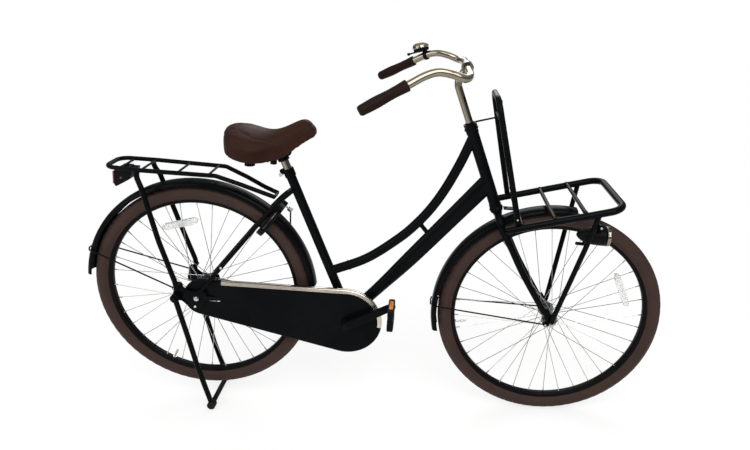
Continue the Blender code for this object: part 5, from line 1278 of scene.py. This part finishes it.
def grip_radius(t):
    """Radius along the grip, from its flared inner end to its rounded outer end."""
    swell = 0.0147 + 0.0007 * cos(2 * pi * (t - 0.66) / 0.72)
    if 0.3 < t < 0.58:
        swell -= 0.0005 * (0.5 - 0.5 * cos(2 * pi * (t - 0.3) / 0.056))
    if t < 0.05:
        swell = max(swell, 0.0155)
    if t > 0.94:
        swell -= 0.0036 * ((t - 0.94) / 0.06) ** 2
    return min(swell, 0.0156)


def handlebar():
    half = smooth(BAR_HALF) + [GRIP_OUT - GRIP_WAY * 0.004]
    fit_out("handlebar_tube", tube(mirrored(half), 0.0111, 32), BAR_BODY, NICKEL, ["handlebar"])
    for side, name in ((-1, "grip_right"), (1, "grip_left")):
        way = vec(GRIP_WAY.x, side * GRIP_WAY.y, GRIP_WAY.z)
        start = vec(GRIP_IN.x, side * GRIP_IN.y, GRIP_IN.z)
        grip(name, side, start, way, (GRIP_OUT - GRIP_IN).length)


def grip(name, side, start, way, length, steps=90):
    """Wrapped sleeve with faint wrinkles and lumps, and a seam along its underside."""
    profile = [(0, length)]
    for i in range(steps + 1):
        t = 1 - i / steps
        wrinkle = 0.00022 * noise.noise(vec(t * 46, side * 3.1, 0)) * sin(pi * min(1, t * 1.1))
        profile.append((grip_radius(t) + wrinkle, t * length))
    profile += [(0.0114, 0.0), (0.0114, length - 0.0035), (0, length - 0.0035)]
    sleeve = lathe(profile, start, way, 40)
    for vertex in sleeve.data.vertices:
        offset = vertex.co - start
        radial = offset - way * offset.dot(way)
        if radial.length > 0.0125:
            lump = noise.noise(vertex.co * 120 + vec(5, side * 7, 1))
            vertex.co += radial.normalized() * 0.0003 * lump
    fit_out(name + "_wrap", sleeve, BAR_BODY, GRIP_LEATHER, [name])
    down = vec(0, 0, -1).cross(way).cross(way).normalized()
    seam = [start + way * (0.006 + (length - 0.014) * i / 30) + down * -(grip_radius(i / 30) + 0.0001)
            for i in range(31)]
    fit_out(name + "_seam", tube(seam, 0.00045, 8), BAR_BODY, THREAD)


def stem():
    base = HEAD_HIGH + AXIS_UP * 0.006
    low = base - AXIS_UP * 0.13
    high = HEAD_LOW + AXIS_UP * ((0.73 - HEAD_LOW.z) / AXIS_UP.z)
    clamp = vec(CLAMP[0], 0, CLAMP[1])
    body_tube = tube(rounded([low, high, clamp], 0.04, 12), 0.011, 32)
    sleeve = pipe(clamp + vec(0, -0.02, 0), clamp + vec(0, 0.02, 0), 0.0171, 0.0056, 48)
    ear = box(clamp + vec(0.004, 0, -0.02), (0.013, 0.016, 0.014), edge=0.002)
    fit_out("stem_tube", [body_tube, sleeve, ear], BAR_BODY, NICKEL, ["stem"])
    screw = [rod(high + AXIS_UP * 0.01, high + AXIS_UP * 0.02, 0.0068, 6, edge=0.0008),
             rod(clamp + vec(0.004, -0.0095, -0.0215), clamp + vec(0.004, 0.0095, -0.0215), 0.0032, 16)]
    fit_out("stem_screws", screw, BAR_BODY, STEEL, ["stem_bolt"])


BELL_ON_BAR = vec(0.664, 0.2385, 0.7678)
BELL_UP = vec(-0.3, 0.1, 0.95).normalized()


def bell():
    r = 0.027
    base = BELL_ON_BAR + BELL_UP * 0.0287
    arch = [(r * cos(radians(a)), 0.0195 * sin(radians(a)) ** 0.9) for a in range(0, 84, 6)]
    inside = [(r - 0.0012, 0.0), (r * 0.84, 0.0095), (r * 0.4, 0.0165), (0, 0.0176)]
    dome = lathe([(0, 0.0196), (0.0026, 0.0196)] + list(reversed(arch)) + inside, base, BELL_UP, 64)
    fit_out("bell_dome_cap", dome, BAR_BODY, NICKEL, ["bell_dome"])
    head = [(0, 0.0206), (0.003, 0.0203), (0.0038, 0.0194), (0.0038, 0.0178), (0, 0.0178)]
    cap = lathe(head, base, BELL_UP, 24)
    post = pin(base, BELL_UP, -0.0003, 0.0186, 0.0028, 20)
    fit_out("bell_screw", [cap, post], BAR_BODY, STEEL)


# Saddle

# From the rear to the nose: x, half width, top, lower edge, hollow underneath, roundness of the top
STATIONS = ((0.096, 0.04, 0.553, 0.488, 0.505, 0.16), (0.106, 0.069, 0.561, 0.481, 0.5, 0.16),
            (0.127, 0.091, 0.565, 0.476, 0.5, 0.19), (0.16, 0.109, 0.562, 0.47, 0.5, 0.23),
            (0.202, 0.105, 0.55, 0.466, 0.5, 0.28), (0.24, 0.074, 0.552, 0.467, 0.5, 0.28),
            (0.278, 0.047, 0.568, 0.475, 0.505, 0.22), (0.304, 0.037, 0.584, 0.499, 0.507, 0.2),
            (0.34, 0.031, 0.6, 0.527, 0.5305, 0.2), (0.364, 0.022, 0.566, 0.541, 0.544, 0.2))
# Creases of the cage's lengthwise edges, by place round the section
CREASES = {2: 0.72, 3: 0.35, 4: 0.75, 5: 0.75, 6: 0.3, 8: 0.3, 9: 0.75, 10: 0.75, 11: 0.35, 12: 0.72}


VOXEL = 0.0034
SKIRT_TOP = 0.5005
INSET = 0.0012
PUFF_STEPS = 14
PUFF_LIMIT = 0.0026


def saddle_cage(shrink):
    """Coarse closed cage of cross sections from the rear to the nose, drawn in by shrink."""
    rings = []
    for x, wide, top, low, hollow, crown in STATIONS:
        wide -= shrink
        top -= shrink
        low += shrink * 0.5
        tall = top - low
        side = [(0.0, top), (0.45, top - 0.05 * tall), (0.82, top - crown * tall), (1.0, low + 0.48 * tall),
                (0.97, low + 0.003), (0.9, low), (0.82, hollow), (0.0, hollow)]
        loop = side + [(-w, z) for w, z in reversed(side[1:-1])]
        rings.append([(x, w * wide, z) for w, z in loop])
    cage = lofted(rings)
    crease = cage.data.attributes.new("crease_edge", "FLOAT", "EDGE")
    around = len(rings[0])
    for edge in cage.data.edges:
        first, second = edge.vertices
        if first % around == second % around:
            crease.data[edge.index].value = CREASES.get(first % around, 0.0)
        elif first // around in (0, len(rings) - 1):
            crease.data[edge.index].value = 0.62 if first < around else 0.85
    levels = cage.modifiers.new("round", "SUBSURF")
    levels.levels = 3
    levels.render_levels = 3
    return settled(cage)


def puffed(obj, steps, cap):
    """The shape after a short pressure simulation; no point moves further than cap."""
    remesh = obj.modifiers.new("even", "REMESH")
    remesh.mode = "VOXEL"
    remesh.voxel_size = VOXEL
    obj = settled(obj)
    before = [v.co.copy() for v in obj.data.vertices]
    held = obj.vertex_groups.new(name="held")
    skirt = [v.index for v in obj.data.vertices if v.co.z < SKIRT_TOP + max(0, v.co.x - 0.26) * 0.5]
    held.add(skirt, 1.0, "REPLACE")
    cloth = obj.modifiers.new("stuffing", "CLOTH")
    cloth.settings.quality = 5
    cloth.settings.mass = 0.3
    cloth.settings.tension_stiffness = 30
    cloth.settings.compression_stiffness = 30
    cloth.settings.bending_stiffness = 2
    cloth.settings.use_pressure = True
    cloth.settings.uniform_pressure_force = 3.0
    cloth.settings.vertex_group_mass = "held"
    cloth.settings.effector_weights.gravity = 0
    cloth.point_cache.frame_start = 1
    cloth.point_cache.frame_end = steps
    scene = bpy.context.scene
    for step in range(1, steps + 1):
        scene.frame_set(step)
    obj = bpy.data.objects.new("piece", evaluated(obj))
    scene.collection.objects.link(obj)
    for vertex, old in zip(obj.data.vertices, before):
        move = vertex.co - old
        if move.length > cap:
            vertex.co = old + move * (cap / move.length)
    scene.frame_set(1)
    return obj


def saddle():
    cushion = puffed(saddle_cage(INSET), PUFF_STEPS, PUFF_LIMIT)
    relax = cushion.modifiers.new("relax", "SMOOTH")
    relax.factor = 0.5
    relax.iterations = 6
    levels = cushion.modifiers.new("fine", "SUBSURF")
    levels.levels = 1
    levels.render_levels = 1
    cushion = settled(cushion)
    pressed_seam(cushion)
    fit_out("saddle_cover", cushion, "seat", LEATHER, ["saddle_cushion"], 60)


def seam_height(x):
    """Height of the seam between the saddle's top and its skirt."""
    points = ((0.085, 0.528), (0.1015, 0.538), (0.12, 0.555), (0.142, 0.556), (0.171, 0.547), (0.196, 0.536),
              (0.234, 0.531), (0.256, 0.533), (0.278, 0.546), (0.304, 0.561), (0.34, 0.578), (0.37, 0.572))
    for (xa, za), (xb, zb) in zip(points, points[1:]):
        if x <= xb:
            t = max(0, (x - xa) / (xb - xa))
            return za + (zb - za) * t
    return points[-1][1]


def pressed_seam(cushion):
    """Draw in a narrow groove where top and skirt are sewn together, with soft wrinkles below it."""
    normals = [vertex.normal.copy() for vertex in cushion.data.vertices]
    for vertex, normal in zip(cushion.data.vertices, normals):
        x, y, z = vertex.co
        off = z - seam_height(x)
        depth = 0.0011 * exp(-(off / 0.002) ** 2)
        fold = 0.0
        if -0.04 < off < 0:
            fold = 0.0009 * noise.noise(vec(x * 40, y * 40, z * 16)) * (1 + off / 0.04)
        if abs(y) > 0.004 or x > 0.3 or x < 0.12:
            vertex.co -= normal * (depth + fold)


def seat_post():
    top = vec(seat_axis(0.487), 0, 0.487) - SEAT_UP * 0.01
    low = top - SEAT_UP * 0.26
    post = pipe(low, top, 0.0125, 0.002, 48)
    fit_out("seat_post_tube", post, "seat", NICKEL, ["seat_post"])


# Ring lock

LOCK_OUTWARD = vec(cos(LOCK_ANGLE), 0, sin(LOCK_ANGLE))
LOCK_AHEAD = vec(sin(LOCK_ANGLE), 0, -cos(LOCK_ANGLE))
LOCK_PLANE = LOCK_OUTWARD * 0.345 + LOCK_AHEAD * LOCK_SHIFT
LOCK_KEY = LOCK_PLANE + LOCK_OUTWARD * 0.05 + vec(0, 0.036, 0)


def ring_point(angle, radius):
    a = radians(angle)
    return LOCK_PLANE + LOCK_OUTWARD * radius * cos(a) + vec(0, radius * sin(a), 0)


def ring_bar(start, end, radius, thick, steps, sides=24):
    """A bar bent along the lock's ring, between two angles."""
    path = [ring_point(start + (end - start) * i / steps, radius) for i in range(steps + 1)]
    return tube(path, thick, sides)


THUMB_ANGLE = -32


def ring_lock():
    half = ((-0.0062, 0.0118), (-0.0088, 0.009), (-0.0088, -0.0062), (-0.0062, -0.0088))
    section = [(-u, v) for u, v in reversed(half)] + list(half)
    rings = []
    for i in range(73):
        spot = ring_point(-150 + 300 * i / 72, LOCK_RING)
        out = (spot - LOCK_PLANE).normalized()
        rings.append([spot + out * u + LOCK_AHEAD * v for u, v in section])
    channel = ring_bar(-224, -24, LOCK_RING, 0.0056, 40, 20)
    slot = ring_bar(-110, -27, LOCK_RING + 0.007, 0.0046, 20, 12)
    case = [cut(lofted(rings), channel, slot), pin(LOCK_KEY, LOCK_AHEAD, -0.006, 0.013, 0.0128, 40, 0.002)]
    for side in SIDES:
        foot = LOCK_PLANE + LOCK_OUTWARD * 0.012 + vec(0, side * 0.045, 0)
        case.append(pin(foot, LOCK_AHEAD, -0.006, -0.0111, 0.005, 20))
    fit_out("ring_lock_case", case, "frame", PLASTIC, ["ring_lock"])
    ahead, neck, knob = [ring_point(THUMB_ANGLE, LOCK_RING + reach) for reach in (0.018, 0.0165, 0.0235)]
    bolt = [ring_bar(-144, -24.6, LOCK_RING, 0.004, 36),
            rod(ring_point(THUMB_ANGLE, LOCK_RING), ahead, 0.0018, 16)]
    fit_out("ring_lock_bar", bolt, "lock_bolt", DARK_STEEL, ["ring_lock_bolt"])
    fit_out("ring_lock_thumb", rod(neck, knob, 0.0048, 28, edge=0.0014), "lock_bolt", PLASTIC)
    key = [pin(LOCK_KEY, LOCK_AHEAD, 0.0045, 0.024, 0.0034, 20),
           box(LOCK_KEY + LOCK_AHEAD * 0.03, (0.016, 0.0046, 0.016), LOCK_AHEAD, 0.0018)]
    fit_out("ring_lock_key_head", key, "lock_key", STEEL, ["ring_lock_key"])
    tag = box(LOCK_KEY + LOCK_AHEAD * 0.031 + vec(0, 0, -0.03), (0.005, 0.003, 0.052), edge=0.0009)
    fit_out("ring_lock_key_tag", tag, "lock_key", RUBBER)


# Materials of the CAD pieces that stay

def finish_cad():
    looks = (
        (STEEL, ("seat_clamp_bolt", "bottom_bracket_cartridge", "rear_axle", "coaster_brake_arm",
                 "front_axle")),
        (ENAMEL, ("headset_locknut", "saddle_clamp", "saddle_rails")),
        (CLEAR_LENS, ("rear_reflector", "front_reflector")),
        (PLASTIC, ("bell_base", "bell_lever")),
    )
    for material, nodes in looks:
        for node in nodes:
            data = frame["nodes"][node].data
            data.materials.clear()
            data.materials.append(material)


# Stage

def camera():
    data = bpy.data.cameras.new("camera")
    data.sensor_width = 36
    data.lens = CAMERA_LENS
    data.shift_x, data.shift_y = CAMERA_SHIFT
    data.clip_end = 200
    obj = bpy.data.objects.new("camera", data)
    obj.location = CAMERA_PLACE
    obj.rotation_euler = [radians(a) for a in CAMERA_TURN]
    bpy.context.scene.collection.objects.link(obj)
    bpy.context.scene.camera = obj


def lamp(name, place, aim, size, power):
    data = bpy.data.lights.new(name, "AREA")
    data.shape = "SQUARE"
    data.size = size
    data.energy = power
    obj = bpy.data.objects.new(name, data)
    obj.location = place
    obj.rotation_euler = (Vector(aim) - Vector(place)).to_track_quat("-Z", "Y").to_euler()
    bpy.context.scene.collection.objects.link(obj)


def seen_directly(tree):
    """1 for what the camera sees, also through glass, and 0 for all other light."""
    path = shader_node(tree, "LightPath")
    rays = {0: path.outputs["Is Camera Ray"], 1: path.outputs["Is Transmission Ray"]}
    return shader_node(tree, "Math", rays, operation="MAXIMUM").outputs["Value"]


def world():
    made = bpy.data.worlds.new("studio")
    made.use_nodes = True
    tree = made.node_tree
    sky = tree.nodes["Background"]
    way = shader_node(tree, "TexCoord").outputs["Generated"]
    height = shader_node(tree, "SeparateXYZ", {"Vector": way}).outputs["Z"]
    rise = {"Value": height, "From Min": 0.02, "From Max": 0.8,
            "To Min": HORIZON_LIGHT, "To Max": ZENITH_LIGHT}
    light = shader_node(tree, "MapRange", rise).outputs["Result"]
    span = {"Value": seen_directly(tree), "To Min": light, "To Max": 1.0}
    sky.inputs["Color"].default_value = (1, 1, 1, 1)
    tree.links.new(shader_node(tree, "MapRange", span).outputs["Result"], sky.inputs["Strength"])
    bpy.context.scene.world = made


def floor():
    shape = bmesh.new()
    bmesh.ops.create_circle(shape, cap_ends=True, segments=96, radius=60)
    ground = from_bmesh(shape, "floor")
    ground.location = (0, 0, CAD_BOX[0][2] - 0.0003)
    tree = PALE_FLOOR.node_tree
    shader = tree.nodes["Principled BSDF"]
    coords = shader_node(tree, "TexCoord").outputs["Object"]
    far = shader_node(tree, "VectorMath", {0: coords}, operation="LENGTH").outputs["Value"]
    reach = {"Value": far, "From Min": 1.0, "From Max": 2.6, "To Min": FLOOR_GLOW, "To Max": 1.0}
    white = shader_node(tree, "MapRange", reach).outputs["Result"]
    both = {0: seen_directly(tree), 1: white}
    share = shader_node(tree, "Math", both, operation="MULTIPLY").outputs["Value"]
    glow = shader_node(tree, "Emission", {"Color": (1, 1, 1, 1), "Strength": 1.0}).outputs["Emission"]
    mixed = shader_node(tree, "MixShader", {0: share, 1: shader.outputs["BSDF"], 2: glow}).outputs["Shader"]
    tree.links.new(mixed, tree.nodes["Material Output"].inputs["Surface"])
    ground.data.materials.append(PALE_FLOOR)


HORIZON_LIGHT = 0.1
ZENITH_LIGHT = 0.8
FLOOR_GLOW = 0.72


def stage():
    scene = bpy.context.scene
    scene.view_settings.view_transform = "Standard"
    camera()
    world()
    floor()
    lamp("key", (0.9, -2.4, 3.0), (0, 0, 0.5), 2.6, 90)
    lamp("fill", (-2.6, -1.8, 2.0), (0, 0, 0.5), 2.4, 40)
    lamp("back", (0.3, 2.8, 2.6), (0, 0, 0.6), 2.6, 55)


stage()
wheels()
fenders()
main_frame()
rear_stays()
fork()
headset()
rear_rack()
front_rack()
hoop()
stand()
drive()
chain()
chain_case()
case_band()
pedal("pedal_right", -1, CRANK_END)
pedal("pedal_left", 1, CRANK_BACK)
head_lamp()
tail_lamp()
handlebar()
stem()
bell()
saddle()
seat_post()
ring_lock()
finish_cad()
